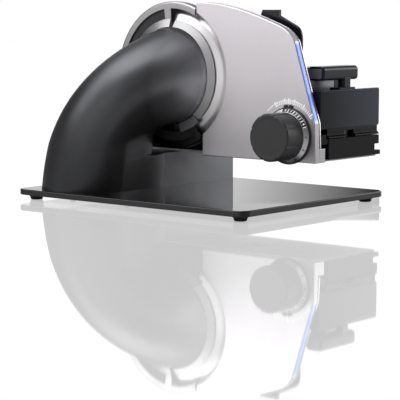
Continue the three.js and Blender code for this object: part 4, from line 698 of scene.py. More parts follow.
def softened(name, node, material, radius, shortest=6):
    bm = bmesh.new()
    bm.from_mesh(frame["nodes"][node].data)
    bmesh.ops.transform(bm, matrix=TO_MAKER, verts=bm.verts)
    bmesh.ops.remove_doubles(bm, verts=bm.verts, dist=1e-3)
    bmesh.ops.dissolve_limit(bm, angle_limit=FLAT, verts=bm.verts, edges=bm.edges)
    rounded(bm, [e for e in sharp_edges(bm) if e.calc_length() > shortest], radius, 2)
    add_mesh(name, to_mesh(bm, name), material, node)


softened("beam", "rail_beam", beam_black, 0.6)
softened("beam_cover", "rail_cover", pale_cover, 0.3)
softened("beam_front_cap", "rail_front_cap", beam_black, 0.4, 3)
softened("beam_rear_cap", "rail_rear_cap", dark_plastic, 0.6)
softened("carriage_track", "slide_track", dark_steel, 0.3)
softened("carriage_floor", "carriage_tray", gloss_black, 0.5)
softened("carriage_saddle", "carriage_shoe", dark_plastic, 0.5)
softened("guide_bar", "pusher_guide", gloss_black, 0.6, 3)
softened("pusher_saddle", "pusher_shoe", dark_plastic, 0.5)
softened("pusher_sheet", "pusher_plate", gloss_black, 0.5, 2)
softened("spindle_holder", "spindle_bracket", bright_steel, 0.4)
print("softened copies made")

# %% [markdown]
# Turned pieces come from a profile. The profile is drawn as a flat face so that its corners can
# be rounded with a vertex bevel. For a whole turn the face is taken out again and only its edges
# are spun, or a wall would stay inside. For part of a turn the face stays, because it closes the
# ends.

# %% Turning and sweeping a profile
AXIS_VECTORS = {"x": Vector((1, 0, 0)), "y": Vector((0, 1, 0)), "z": Vector((0, 0, 1))}
PROFILE_STEPS = 4


def on_profile(axis, centre, radius, place):
    """A point of a profile: a radius from the axis at a place along it."""
    if axis == "x":
        return Vector((place, centre.y, centre.z + radius))
    if axis == "y":
        return Vector((centre.x, place, centre.z + radius))
    return Vector((centre.x + radius, centre.y, place))


def profile_face(bm, axis, centre, points):
    """A face through (radius, place, rounding) points, with those corners rounded."""
    made = [bm.verts.new(on_profile(axis, centre, r, p)) for r, p, _ in points]
    bm.faces.new(made)
    for vert, (_, _, rounding) in zip(made, points):
        if rounding:
            rounded(bm, [vert], rounding, PROFILE_STEPS, "VERTICES")
    return bm.faces[:]


def turned(axis, centre, points, steps):
    """A whole turn of a profile whose first and last point may lie on the axis."""
    bm = bmesh.new()
    faces = profile_face(bm, axis, centre, points)
    bmesh.ops.delete(bm, geom=faces, context="FACES_ONLY")
    direction = AXIS_VECTORS[axis]

    def radius_of(vert):
        arm = vert.co - centre
        return (arm - direction * arm.dot(direction)).length

    core = [e for e in bm.edges if all(radius_of(v) < 1e-5 for v in e.verts)]
    bmesh.ops.delete(bm, geom=core, context="EDGES")
    spin = {"cent": centre, "axis": direction, "angle": math.tau, "steps": steps}
    bmesh.ops.spin(bm, geom=bm.verts[:] + bm.edges[:], use_merge=True, **spin)
    return bm


def swept(centre, points, start, end, steps):
    """Part of a turn about an X axis, between two angles in degrees from +Y towards +Z."""
    bm = bmesh.new()
    profile_face(bm, "x", centre, points)
    to_start = Matrix.Rotation(math.radians(start - 90), 3, "X")
    bmesh.ops.rotate(bm, cent=centre, matrix=to_start, verts=bm.verts)
    whole_profile = bm.verts[:] + bm.edges[:] + bm.faces[:]
    spin = {"cent": centre, "axis": AXIS_VECTORS["x"], "angle": math.radians(end - start)}
    bmesh.ops.spin(bm, geom=whole_profile, steps=steps, use_merge=False, **spin)
    bmesh.ops.recalc_face_normals(bm, faces=bm.faces)
    return bm


print("profiles can be turned or swept")

# %% [markdown]
# Four rubber feet carry the glass. Each could be a plain cylinder, but its profile shows beside
# the table: narrow where it stands, with a wider collar above and a small step under the glass.

# %% Feet
FOOT_RIM = 3.5
for number in range(1, 5):
    node = f"foot_{number}"
    low, high = corners(node)
    radius = (high.x - low.x) / 2
    foot = turned("z", middle(node), [
        (0, low.z, 0), (radius - 2.4, low.z, 0), (radius - 1.2, low.z + 0.9, 0.5),
        (radius - 1.2, FOOT_RIM, 0), (radius, FOOT_RIM, 0.4), (radius, high.z - 0.9, 0.2),
        (radius - 0.6, high.z - 0.7, 0.1), (radius - 0.6, high.z, 0), (0, high.z, 0),
    ], 48)
    add_piece(f"base_{node}", foot, rubber, node)
print("feet turned")

# %% [markdown]
# Solids are joined and cut with the boolean modifier, evaluated once so that no modifier stays on
# the piece. It keeps the crease where the arm's trunk meets its foot, and makes real holes for
# the switch and the inlet.

# %% Joining and cutting
def scratch_object(bm):
    bmesh.ops.recalc_face_normals(bm, faces=bm.faces)
    body = bpy.data.objects.new("scratch", to_mesh(bm, "scratch"))
    scene.collection.objects.link(body)
    return body


def combined(bm, others, operation):
    """One mesh from a bmesh and others, by UNION or DIFFERENCE."""
    body = scratch_object(bm)
    tools = [scratch_object(other) for other in others]
    for tool in tools:
        step = body.modifiers.new(operation.lower(), "BOOLEAN")
        step.operation = operation
        step.solver = "EXACT"
        step.object = tool
    graph = bpy.context.evaluated_depsgraph_get()
    result = bmesh.new()
    result.from_mesh(body.evaluated_get(graph).to_mesh())
    for used in [body, *tools]:
        bpy.data.objects.remove(used)
    return result


def joined(bm, *others):
    return combined(bm, others, "UNION")


def cut(bm, *others):
    return combined(bm, others, "DIFFERENCE")


def drill(axis, centre, radius, start, end, steps=48):
    points = [(0, start, 0), (radius, start, 0), (radius, end, 0), (0, end, 0)]
    return turned(axis, Vector(centre), points, steps)


print("booleans ready")

# %% [markdown]
# The arm is the main form: a hollow casting that rises from the far end of the base, leans over
# and ends in a round mouth. A bent tube along one path would be too regular. So the arm is made of
# rings, and each starts as a circle that is pulled between an outer and an inner rail: half an
# ellipse outside, and a squarer half on the inner side that becomes round at the mouth.

# %% Rails and rings of the arm
ARM_RADIUS = 59.5
HEEL = Vector((3, 301.5, DECK))
HEEL_PULL = Vector((-6, -17.5, 93))
MOUTH = Vector((119, BLADE_AXIS.y, BLADE_AXIS.z + ARM_RADIUS))
MOUTH_PULL = Vector((109, -24, 36))
THROAT_X = 118.5
THROAT_HEIGHT = BLADE_AXIS.z - ARM_RADIUS - DECK - 8
THROAT_SHARE = 0.2
THROAT_SQUARE = 6.0
TRUNK_FACETS = 96


def outer_rail(t):
    pulls = [HEEL, HEEL + HEEL_PULL, MOUTH - MOUTH_PULL, MOUTH]
    weights = [(1 - t) ** 3, 3 * t * (1 - t) ** 2, 3 * t * t * (1 - t), t**3]
    return sum((point * weight for point, weight in zip(pulls, weights)), Vector((0, 0, 0)))


def inner_rail(t):
    if t < THROAT_SHARE:
        return THROAT_X, DECK + THROAT_HEIGHT * t / THROAT_SHARE
    turn = (t - THROAT_SHARE) / (1 - THROAT_SHARE) * math.pi / 2
    rise = BLADE_AXIS.z - ARM_RADIUS - DECK - THROAT_HEIGHT
    inner_x = MOUTH.x - (MOUTH.x - THROAT_X) * math.cos(turn)
    return inner_x, DECK + THROAT_HEIGHT + rise * math.sin(turn)


def bulge(value, power):
    return math.copysign(abs(value) ** (2 / power), value)


def trunk_ring(bm, t, thinner, heel=0.0, shift=(0, 0, 0), capped=False):
    """The edges of one ring of the trunk, as a circle pulled into place."""
    circle = bmesh.ops.create_circle(bm, cap_ends=capped, segments=TRUNK_FACETS, radius=1)["verts"]
    outer = outer_rail(t)
    inner_x, inner_z = inner_rail(t)
    reach = Vector((outer.x - inner_x, outer.z - inner_z)) / 2
    slim = 1 - thinner / reach.length
    for vert in circle:
        power = 2 if vert.co.x > 0 else 2 + THROAT_SQUARE * (1 - t)
        across = bulge(vert.co.x, power) * slim
        side = bulge(vert.co.y, power) * (ARM_RADIUS - thinner)
        pulled = (
            (outer.x + inner_x) / 2 + reach.x * across + heel * max(0, -across),
            outer.y + side,
            (outer.z + inner_z) / 2 + reach.y * across,
        )
        vert.co = Vector(pulled) + Vector(shift)
    return list({e for v in circle for e in v.link_edges})


print("arm rises", round(MOUTH.z - DECK), "mm above the deck")

# %% [markdown]
# The rings are bridged one to the next. Low down their inner half reaches on along the foot, which
# makes the heel with its ledge, and a rounded block makes the foot itself. The same rings and
# block, drawn thinner, make the hollow, because a casting has an even wall. The flank then gets
# round holes for the switch and the inlet.

# %% Casting of the arm
ARM_WALL = 4.0
HEEL_HEIGHT = 44.4
HEEL_SHARE = THROAT_SHARE * HEEL_HEIGHT / THROAT_HEIGHT
HEEL_REACH = 37.5
HEEL_LEAN = 9.0
HEEL_EDGE = 2.0
HEEL_RINGS = 6
EDGE_RINGS = 4
LEDGE_SHARE = 0.004
TRUNK_RINGS = 48


def heel_rings():
    """Places along the rails, and how far the inner half reaches on there, with a round edge."""
    climb = THROAT_HEIGHT / THROAT_SHARE
    rings = []
    for step in range(HEEL_RINGS):
        part = step / HEEL_RINGS
        rings.append((HEEL_SHARE * part, HEEL_REACH - HEEL_LEAN * part))
    for step in range(EDGE_RINGS + 1):
        turn = math.pi / 2 * step / EDGE_RINGS
        drop = HEEL_EDGE * (1 - math.sin(turn)) / climb
        end = HEEL_REACH - HEEL_LEAN - HEEL_EDGE * (1 - math.cos(turn))
        rings.append((HEEL_SHARE - drop, end))
    return rings + [(HEEL_SHARE + LEDGE_SHARE, 2.0), (HEEL_SHARE + 2 * LEDGE_SHARE, 0.0)]


def trunk(thinner, below, beyond, heel):
    """The trunk, carried on a little below the deck and beyond its mouth."""
    stations = heel_rings() if heel else [(0, 0)]
    first = stations[-1][0]
    plain = [ring / TRUNK_RINGS for ring in range(TRUNK_RINGS + 1)]
    stations += [(t, 0) for t in plain if t > first + 2 * LEDGE_SHARE]
    bm = bmesh.new()
    last = trunk_ring(bm, 0, thinner, stations[0][1], (0, 0, -below), True)
    for t, reach_on in stations:
        edges = trunk_ring(bm, t, thinner, reach_on)
        bmesh.ops.bridge_loops(bm, edges=last + edges)
        last = edges
    edges = trunk_ring(bm, 1, thinner, 0, (beyond, 0, 0), True)
    bmesh.ops.bridge_loops(bm, edges=last + edges)
    return bm


FOOT_LOW = Vector((84.5, 242.9, DECK - 8))
FOOT_HIGH = Vector((284, 360.1, DECK + 45))
FOOT_CORNER = 7.0
FOOT_EDGE = 2.2
BUTTON_HOLE = 9.9
INLET_HOLE = 6.7
FLANK_CUT = (320, 380)


def foot_block(thinner):
    inset = Vector((thinner, thinner, 0))
    top = Vector((-thinner, -thinner, -thinner))
    return block(FOOT_LOW + inset, FOOT_HIGH + top, 2, FOOT_CORNER, 0 if thinner else FOOT_EDGE)


below_deck = block((-40, 150, DECK - 40), (340, 420, DECK), 2, 0, 0)
past_mouth = block((125, 100, 60), (160, 330, 260), 2, 0, 0)
skin = joined(trunk(0, 8, 12, True), foot_block(0))
hollow = joined(trunk(ARM_WALL, 12, 20, False), foot_block(ARM_WALL))
button_hole = drill("y", middle("power_button"), BUTTON_HOLE, *FLANK_CUT)
inlet_hole = drill("y", middle("cord_inlet"), INLET_HOLE, *FLANK_CUT)
casting = cut(skin, hollow, below_deck, past_mouth, button_hole, inlet_hole)
arm = add_piece("arm_casting", casting, charcoal, "arm_housing", True, 28)
print("arm casting has", len(arm.data.polygons), "faces")

# %% [markdown]
# The guard is a machined ring behind the blade. Its rim covers the cutting edge on the far side,
# a collar goes round the arm's mouth, and a bridge at the top and a lug at the bottom join the
# two. Each is a profile swept over its own part of the circle, and the parts are then joined. The
# rim ends in a straight cut beside the stop plate.

# %% Guard ring
GUARD_OUTER = 92.0
GUARD_WALL = 5.4
GUARD_LIP = 9.5
COLLAR_INNER = ARM_RADIUS + 0.6
COLLAR_OUTER = 70.8
COLLAR_FACE = 120.0
LIP_FACE = COLLAR_FACE + 4.0
LIP_BACK = LIP_FACE + 5.5
GUARD_BACK = 137.0
FLANGE_FACE = 125.3
FLANGE_BACK = FLANGE_FACE + 1.8
FLANGE_INNER = 30.0
FLANGE_OUTER = COLLAR_INNER + 1.2
GUARD_SPAN = (-120.8, 118)
GUARD_CUT = BLADE_AXIS.y - 38.3
COLLAR_SPAN = (-96, 89)
BRIDGE_SPAN = (81.5, 89)
LUG_SPAN = (-120.8, -114)
COLLAR_EDGE = 123.6

rim = swept(BLADE_AXIS, [
    (GUARD_OUTER - GUARD_LIP, LIP_FACE, 1.2), (GUARD_OUTER, LIP_FACE, 2.2),
    (GUARD_OUTER, GUARD_BACK, 0.8), (GUARD_OUTER - GUARD_WALL, GUARD_BACK, 0.8),
    (GUARD_OUTER - GUARD_WALL, LIP_BACK, 0.8), (GUARD_OUTER - GUARD_LIP, LIP_BACK, 0.6),
], *GUARD_SPAN, 120)
beside_plate = block((100, GUARD_CUT - 100, BLADE_AXIS.z), (160, GUARD_CUT, 300), 2, 0, 0)
rim = cut(rim, beside_plate)
collar = swept(BLADE_AXIS, [
    (COLLAR_INNER, COLLAR_FACE, 0.6), (COLLAR_OUTER, COLLAR_EDGE, 0.6),
    (COLLAR_OUTER, FLANGE_FACE + 0.5, 0.3), (COLLAR_INNER, FLANGE_FACE + 0.5, 0),
], *COLLAR_SPAN, 96)
flange = turned("x", BLADE_AXIS, [
    (FLANGE_INNER, FLANGE_FACE, 0.3), (FLANGE_OUTER, FLANGE_FACE, 0),
    (FLANGE_OUTER, FLANGE_BACK, 0.3), (FLANGE_INNER, FLANGE_BACK, 0.3),
], 128)


def radial_arm(inner, outer, face, back, rounding, span):
    """A flat arm from one radius to another, swept over a short part of the circle."""
    points = [(inner, face, rounding), (outer, face, rounding), (outer, back, 0), (inner, back, 0)]
    return swept(BLADE_AXIS, points, *span, 12)


ARM_END = GUARD_OUTER - GUARD_WALL / 2
arms = [
    radial_arm(COLLAR_INNER + 4, ARM_END, LIP_FACE, FLANGE_FACE + 0.5, 0, span)
    for span in (BRIDGE_SPAN, LUG_SPAN)
]
guard = joined(rim, collar, flange, *arms)
add_piece("blade_guard", guard, cast_silver, "guard_ring", True, 30)
print("guard swept over", round(GUARD_SPAN[1] - GUARD_SPAN[0]), "degrees")

# %% [markdown]
# A dark web closes the space between the guard's rim and its collar, and its dark colour is a
# painted shade for that gap. A small cover sits on the lug. On the other side the slice stripper
# carries the
# collar on: a ring of its own that leads each slice off the blade. They are swept in the same way,
# and stay separate pieces.

# %% Guard shade web and slice stripper
STRIPPER_SPAN = (93.4, 232)
STRIPPER_OUTER = COLLAR_OUTER - 2.0
STRIPPER_INNER_X = 121.4
STRIPPER_OUTER_X = 126.4
LUG_COVER = (LIP_FACE - 2, LIP_FACE + 0.6)
COVER_SPAN = (-128, -103)
lug_cover = radial_arm(COLLAR_INNER + 0.5, COLLAR_OUTER + 2, *LUG_COVER, 0.8, COVER_SPAN)
add_piece("lug_cover", lug_cover, lug_metal, "guard_ring", False)
# The web's dark plastic stands in for the shade in the gap between rim and collar.
SHADE_WEB_FACE = FLANGE_BACK - 0.8
SHADE_WEB_BACK = FLANGE_BACK + 0.2
SHADE_WEB_INNER = COLLAR_OUTER - 1.0
SHADE_WEB_OUTER = GUARD_OUTER - GUARD_LIP + 1.5
shade_web = swept(BLADE_AXIS, [
    (SHADE_WEB_INNER, SHADE_WEB_FACE, 0), (SHADE_WEB_OUTER, SHADE_WEB_FACE, 0.2),
    (SHADE_WEB_OUTER, SHADE_WEB_BACK, 0.2), (SHADE_WEB_INNER, SHADE_WEB_BACK, 0),
], GUARD_SPAN[0], BRIDGE_SPAN[1], 96)
add_piece("guard_shade_web", shade_web, dark_plastic, "guard_ring", False)

stripper = swept(BLADE_AXIS, [
    (COLLAR_INNER, STRIPPER_INNER_X, 0.5), (STRIPPER_OUTER, STRIPPER_OUTER_X, 0.2),
    (STRIPPER_OUTER, FLANGE_BACK, 0.1), (STRIPPER_OUTER - 3, FLANGE_BACK, 0),
    (COLLAR_INNER + 1.6, FLANGE_FACE - 0.3, 0), (COLLAR_INNER, FLANGE_FACE - 0.3, 0),
], *STRIPPER_SPAN, 96)
add_piece("stripper_ring", stripper, collar_silver, "slice_stripper")
print("web, cover and stripper swept")

# %% [markdown]
# The blade is dished: its middle lies behind the cutting edge, so slices fall clear. The rim is a
# cone with a narrow ground bevel. The hub, its screws and the shaft show from the food side.

# %% Blade and hub
blade_low, blade_high = corners("blade")
BLADE_RADIUS = (blade_high.z - blade_low.z) / 2
EDGE_X = blade_high.x
BACK_X = blade_low.x
FACE_X = BACK_X + 2.0
BLADE_BORE = 10.4
BLADE_FLAT = 66.0
blade = turned("x", BLADE_AXIS, [
    (BLADE_BORE, BACK_X, 0.2), (BLADE_FLAT, BACK_X, 3.0), (BLADE_RADIUS - 8, EDGE_X - 5.4, 1.5),
    (BLADE_RADIUS, EDGE_X - 0.3, 0), (BLADE_RADIUS, EDGE_X, 0), (BLADE_RADIUS - 3, EDGE_X, 0.4),
    (BLADE_RADIUS - 9, EDGE_X - 2.6, 1.0), (BLADE_FLAT, FACE_X, 3.0), (BLADE_BORE, FACE_X, 0.4),
], 192)
add_piece("round_blade", blade, blade_steel, "blade", True, 20)

hub_low, hub_high = corners("blade_hub")
HUB_RADIUS = (hub_high.z - hub_low.z) / 2
SHAFT_BORE = 6.3
HUB_HOLE = 4.5
hub = turned("x", BLADE_AXIS, [
    (SHAFT_BORE, hub_low.x, 0), (HUB_RADIUS, hub_low.x, 1.0), (HUB_RADIUS, BACK_X - 0.3, 0.3),
    (BLADE_BORE - 0.3, BACK_X - 0.3, 0), (BLADE_BORE - 0.3, hub_high.x, 0.8),
    (HUB_HOLE, hub_high.x, 0.5), (HUB_HOLE, BACK_X + 1, 0), (SHAFT_BORE, BACK_X + 1, 0),
], 96)
add_piece("drive_hub", hub, dark_plastic, "blade_hub")
print("blade radius", round(BLADE_RADIUS, 1), "mm")

# %% [markdown]
# The screws have button heads with a six-sided socket. A head is turned, and a six-sided prism is
# cut into it. The same function makes the three blade screws and the four under the base.

# %% Screws
HEAD_RADIUS = 4.4
HEAD_HEIGHT = 2.6
SHANK_RADIUS = 2.2
SOCKET_RADIUS = 1.9
SOCKET_DEPTH = 1.5


def button_screw(node, axis, tip, head):
    """A screw from its tip to the top of its head, along an axis."""
    centre = middle(node)
    up = 1 if head > tip else -1
    seat = head - up * HEAD_HEIGHT
    shank = turned(axis, centre, [
        (0, tip, 0), (SHANK_RADIUS, tip, 0.4), (SHANK_RADIUS, seat, 0),
        (HEAD_RADIUS, seat, 0.3), (HEAD_RADIUS, seat + up * 0.9, 0.8),
        (HEAD_RADIUS * 0.6, head, 0.6), (0, head, 0),
    ], 32)
    socket = drill(axis, centre, SOCKET_RADIUS, head - up * SOCKET_DEPTH, head + up, 6)
    add_piece(node.replace("screw", "bolt"), cut(shank, socket), bright_steel, node)


for number in range(1, 4):
    node = f"blade_screw_{number}"
    button_screw(node, "x", corners(node)[0].x, corners(node)[1].x)
for number in range(1, 5):
    node = f"base_screw_{number}"
    button_screw(node, "z", corners(node)[1].z, corners(node)[0].z)
print("7 screws made")

# %% [markdown]
# The stop plate is a shallow pressed tray. Its outline follows the blade with an arc, falls from
# the top in one long curve, turns over a rounded shoulder and runs down a straight slope that
# holds the light strip. The outline is made from those curves, pulled to its depth and softened.

# %% Outline of the stop plate
plate_low, plate_high = corners("stop_plate")
PANEL_X = plate_low.x
BLADE_CLEARANCE = 1.6
PLATE_LEFT = BLADE_AXIS.y - 49
PLATE_TOP_LEFT = BLADE_AXIS.y - 39
PLATE_TOP = DECK + 234.5
PLATE_BROW = 55.6
SHOULDER = Vector((33.9, DECK + 201))
SHOULDER_ROUND = 13.0
STRIP_TOP = Vector((24.9, DECK + 188.5))
STRIP_BOTTOM = Vector((-5.9, DECK + 92))
PLATE_FRONT_Y = plate_low.y
ARC_STEPS = 44


def curve_through(start, pull, end, count):
    """Points of a curve that leaves one point towards a pull and arrives from it."""
    first = start + (pull - start) * 2 / 3
    second = end + (pull - end) * 2 / 3
    return interpolate_bezier(start, first, second, end, count)


def plate_outline(bottom):
    reach = BLADE_RADIUS + BLADE_CLEARANCE
    low = -math.acos((PLATE_LEFT - BLADE_AXIS.y) / reach)
    high = math.acos((PLATE_TOP_LEFT - BLADE_AXIS.y) / reach) - math.tau
    axis = Vector((BLADE_AXIS.y, BLADE_AXIS.z))
    angles = [low + (high - low) * step / ARC_STEPS for step in range(ARC_STEPS + 1)]
    arc = [axis + reach * Vector((math.cos(a), math.sin(a))) for a in angles]
    brow_end = SHOULDER + Vector((SHOULDER_ROUND, 5))
    top = Vector((PLATE_TOP_LEFT, PLATE_TOP))
    brow = curve_through(top, top - Vector((PLATE_BROW, 0)), brow_end, 24)
    shoulder = curve_through(brow_end, SHOULDER, STRIP_TOP, 10)
    front = [STRIP_BOTTOM, Vector((PLATE_FRONT_Y, bottom))]
    return [Vector((PLATE_LEFT, bottom)), *arc, *brow, *shoulder[1:], *front]


def pulled_outline(points, start, depth, radius):
    """A (Y, Z) outline pulled along X, with its edges softened."""
    bm = bmesh.new()
    face = bm.faces.new([bm.verts.new((start, p.x, p.y)) for p in points])
    pulled = bmesh.ops.extrude_face_region(bm, geom=[face])["geom"]
    moved = [v for v in pulled if isinstance(v, bmesh.types.BMVert)]
    bmesh.ops.translate(bm, vec=(depth, 0, 0), verts=moved)
    bmesh.ops.remove_doubles(bm, verts=bm.verts, dist=1e-3)
    bmesh.ops.recalc_face_normals(bm, faces=bm.faces)
    if radius:
        rims = [e for e in sharp_edges(bm, 60) if abs(e.verts[0].co.x - e.verts[1].co.x) < 1e-4]
        rounded(bm, rims, radius, 3)
    return bm


outline = plate_outline(plate_low.z)
panel = pulled_outline(outline, PANEL_X, plate_high.x - PANEL_X, 1.3)
print("outline has", len(outline), "points")

# %% [markdown]
# The light strip lies in a slot along the plate's sloping edge. A bar turned to the slope
# makes both: a deep one cuts the slot, and a thin one is the strip. The plate's open back is closed
# by a steel face sheet from the same outline, with a hole for the spindle.

# %% Light strip and face sheet
BUSH_HOLE = 9.4
SPINDLE_HOLE = 6.2
bush_hole = drill("x", middle("knob_bush"), BUSH_HOLE, PANEL_X - 2, plate_high.x + 2)
strip_low, strip_high = corners("light_strip")
strip_middle = middle("light_strip")
slope = (STRIP_TOP - STRIP_BOTTOM).normalized()
STRIP_WIDTH = strip_high.x - strip_low.x
STRIP_LENGTH = (STRIP_TOP - STRIP_BOTTOM).length
STRIP_DEPTH = 2.2
SLOT_DEPTH = 9.8
SLOT_ABOVE = 6.0


def placed(bm, radians, place):
    """Turns a shape about X at the origin, and moves it to its place."""
    turn = Matrix.Rotation(radians, 3, "X")
    bmesh.ops.rotate(bm, cent=(0, 0, 0), matrix=turn, verts=bm.verts)
    bmesh.ops.translate(bm, vec=place, verts=bm.verts)
    return bm


def strip_box(width, length, depth, sink, radius):
    """A bar that lies in the sloping edge of the plate, sunk below it by a distance."""
    half = Vector((width, depth, length)) / 2
    inward = Vector((slope.y, -slope.x))
    centre = (STRIP_TOP + STRIP_BOTTOM) / 2 + inward * (sink + depth / 2)
    lean = math.atan2(-slope.x, slope.y)
    return placed(block(-half, half, 0, 0, radius), lean, (strip_middle.x, centre.x, centre.y))


strip_slot = strip_box(STRIP_WIDTH + 0.6, STRIP_LENGTH, SLOT_DEPTH, -SLOT_ABOVE, 0)
panel = cut(panel, strip_slot, bush_hole)
add_piece("front_panel", panel, silver, "stop_plate", True, 30)
strip = strip_box(STRIP_WIDTH, STRIP_LENGTH - 0.6, STRIP_DEPTH, 0.0, 0.5)
add_piece("light_guide", strip, blue_light, "light_strip")

face_low, face_high = corners("stop_face")
sheet = pulled_outline(plate_outline(face_low.z), face_low.x, face_high.x - face_low.x, 0.5)
spindle_hole = drill("x", KNOB_AXIS, SPINDLE_HOLE, face_low.x - 2, face_high.x + 2)
add_piece("face_sheet", cut(sheet, spindle_hole), sheet_steel, "stop_face", True, 30)
print("stop plate is", round(plate_high.z - plate_low.z), "mm high")

# %% [markdown]
# White graduations are printed on the plate round the dial, with an arc outside them and one broad
# mark at the top. A print has next to no thickness, but a mesh needs some, so each mark is a bar
# about a tenth of a millimetre high that sits on the panel.

# %% Printed graduations
PRINT = 0.12
TICK_INNER = 38.0
TICK_OUTER = 42.0
TICK_LONG = 44.5
TICK_START = 34
TICK_STEP = 4
TICK_COUNT = 22
ARC_SPAN = (42, 118)
TOP_WIDTH, LONG_WIDTH, TICK_WIDTH = 2.2, 1.8, 1.1
KNOB_PLACE = (0, KNOB_AXIS.y, KNOB_AXIS.z)


def gathered(parts):
    """One bmesh from several."""
    whole = bmesh.new()
    for part in parts:
        mesh = to_mesh(part, "part")
        whole.from_mesh(mesh)
        bpy.data.meshes.remove(mesh)
    return whole


def tick_bar(inner, outer, width, degrees, surface):
    """A mark on a face that looks along -X, at an angle from the operator's side upwards."""
    bm = block((surface - PRINT, -width / 2, inner), (surface, width / 2, outer), 0, 0, 0)
    return placed(bm, math.radians(90 - degrees), KNOB_PLACE)


marks = [tick_bar(TICK_INNER, TICK_LONG, TOP_WIDTH, 90, PANEL_X)]
for step in range(TICK_COUNT):
    degrees = TICK_START + TICK_STEP * step
    outer, width = (TICK_LONG, LONG_WIDTH) if step % 5 == 1 else (TICK_OUTER, TICK_WIDTH)
    if degrees != 90:
        marks.append(tick_bar(TICK_INNER, outer, width, degrees, PANEL_X))
arc_profile = [(TICK_OUTER - 0.1, PANEL_X, 0), (TICK_OUTER + 0.8, PANEL_X, 0)]
arc_profile += [(radius, PANEL_X - PRINT * 0.8, 0) for radius, _, _ in reversed(arc_profile)]
marks.append(swept(KNOB_AXIS, arc_profile, *ARC_SPAN, 60))
add_piece("plate_print", gathered(marks), glowing_white_print, "stop_plate", False)
print(len(marks), "printed marks")

# %% [markdown]
# The dial has three parts. A black index ring lies on the plate, with two ears that form a
# pointer at the top. In front of it turns a brushed metal ring with a conical face for the
# numbers, and the operator holds a charcoal knob with shallow flutes. The flutes are pressed into
# the turned knob by moving its skin inwards near eight angles.

# %% Dial and knob
index_low, index_high = corners("index_ring")
INDEX_RADIUS = KNOB_AXIS.z - index_low.z
EAR_HEIGHT = index_high.z - KNOB_AXIS.z - INDEX_RADIUS
INDEX_BORE = 15.4
EAR_ASIDE = 3.4
EAR_LEAN = 16
index = turned("x", KNOB_AXIS, [
    (INDEX_BORE, index_low.x, 0), (INDEX_RADIUS, index_low.x, 0.5),
    (INDEX_RADIUS, index_high.x, 0), (INDEX_BORE, index_high.x, 0),
], 128)
ears = []
for side in (-1, 1):
    ear = block((index_low.x, -2.3, -3), (index_high.x, 2.3, EAR_HEIGHT), 0, 0.8, 0.3)
    place = (0, KNOB_AXIS.y - side * EAR_ASIDE, KNOB_AXIS.z + INDEX_RADIUS - 0.6)
    ears.append(placed(ear, math.radians(side * EAR_LEAN), place))
add_piece("index_pointer", joined(index, *ears), dark_plastic, "index_ring")

scale_low, scale_high = corners("scale_ring")
SCALE_RADIUS = (scale_high.z - scale_low.z) / 2
knob_low, knob_high = corners("knob_cap")
KNOB_RADIUS = (knob_high.z - knob_low.z) / 2
KNOB_BORE = 9.3
CONE_END = scale_low.x + (scale_high.x - scale_low.x) * 0.7
scale = turned("x", KNOB_AXIS, [
    (KNOB_BORE, scale_low.x, 0), (KNOB_RADIUS, scale_low.x, 0.3), (SCALE_RADIUS, CONE_END, 0.6),
    (SCALE_RADIUS, scale_high.x, 0.4), (KNOB_BORE, scale_high.x, 0),
], 128)
add_piece("dial_ring", scale, dial_metal, "scale_ring")

KNOB_FLUTES = 8
FLUTE_TURN = 19.0
FLUTE_WIDTH = 4.4
FLUTE_DEPTH = 1.0
knob = turned("x", KNOB_AXIS, [
    (0, knob_low.x + 0.5, 0), (KNOB_RADIUS - 7, knob_low.x + 0.4, 2.0),
    (KNOB_RADIUS - 3.4, knob_low.x, 1.2), (KNOB_RADIUS, knob_low.x, 2.2),
    (KNOB_RADIUS, knob_high.x, 0.4), (KNOB_BORE, knob_high.x, 0),
    (KNOB_BORE, knob_low.x + 4, 0), (0, knob_low.x + 4, 0),
], 240)
for vert in knob.verts:
    arm_y, arm_z = vert.co.y - KNOB_AXIS.y, vert.co.z - KNOB_AXIS.z
    radius = math.hypot(arm_y, arm_z)
    if radius > KNOB_RADIUS - 4:
        angle = math.degrees(math.atan2(arm_z, arm_y)) - FLUTE_TURN
        step = 360 / KNOB_FLUTES
        off = abs((angle + step / 2) % step - step / 2)
        if off < FLUTE_WIDTH:
            press = FLUTE_DEPTH * 0.5 * (1 + math.cos(math.pi * off / FLUTE_WIDTH))
            vert.co.y -= arm_y / radius * press
            vert.co.z -= arm_z / radius * press
add_piece("grip_knob", knob, knob_charcoal, "knob_cap", True, 35)
print("dial has", KNOB_FLUTES, "flutes")

# %% [markdown]
# Plain numbers on the cone of the metal ring give the slice thickness in millimetres. The ring
# turns fifteen degrees for a millimetre, so that the numbers come to the pointer in turn. The fine
# range has one for each millimetre, with a tick after it, white on a black band. The rest has
# every second one, dark on the metal. Each number starts as a text curve, becomes a mesh and is
# laid on the cone by a matrix.

# %% Dial numbers
CONE_FRONT = scale_low.x
CONE_SLOPE = math.atan2(SCALE_RADIUS - KNOB_RADIUS, CONE_END - CONE_FRONT)
CONE_MIDDLE = Vector(((CONE_FRONT + CONE_END) / 2, 0, (KNOB_RADIUS + SCALE_RADIUS) / 2))
POINTER = 90.0
DEGREES_PER_MM = 15.0
FINE_NUMBERS = [0, 1, 2, 3, 4]
COARSE_NUMBERS = [6, 8, 10, 12, 14, 16, 18, 20]
NUMBER_SIZE = 4.2
NUMBER_WEIGHT = 0.06
BAND_EDGES = (0.06, 0.94)
BAND_MARGIN = 0.6
ON_BAND, ON_METAL = 1.3, 0.4


def number_mesh(text):
    """The flat mesh of a number, in millimetres, centred on the origin."""
    curve = bpy.data.curves.new("number", "FONT")
    curve.body = text
    curve.size = NUMBER_SIZE
    curve.align_x = "CENTER"
    curve.align_y = "CENTER"
    curve.extrude = PRINT / 2
    curve.offset = NUMBER_WEIGHT
    holder = bpy.data.objects.new("number", curve)
    scene.collection.objects.link(holder)
    graph = bpy.context.evaluated_depsgraph_get()
    bm = bmesh.new()
    bm.from_mesh(holder.evaluated_get(graph).to_mesh())
    bpy.data.objects.remove(holder)
    return bm


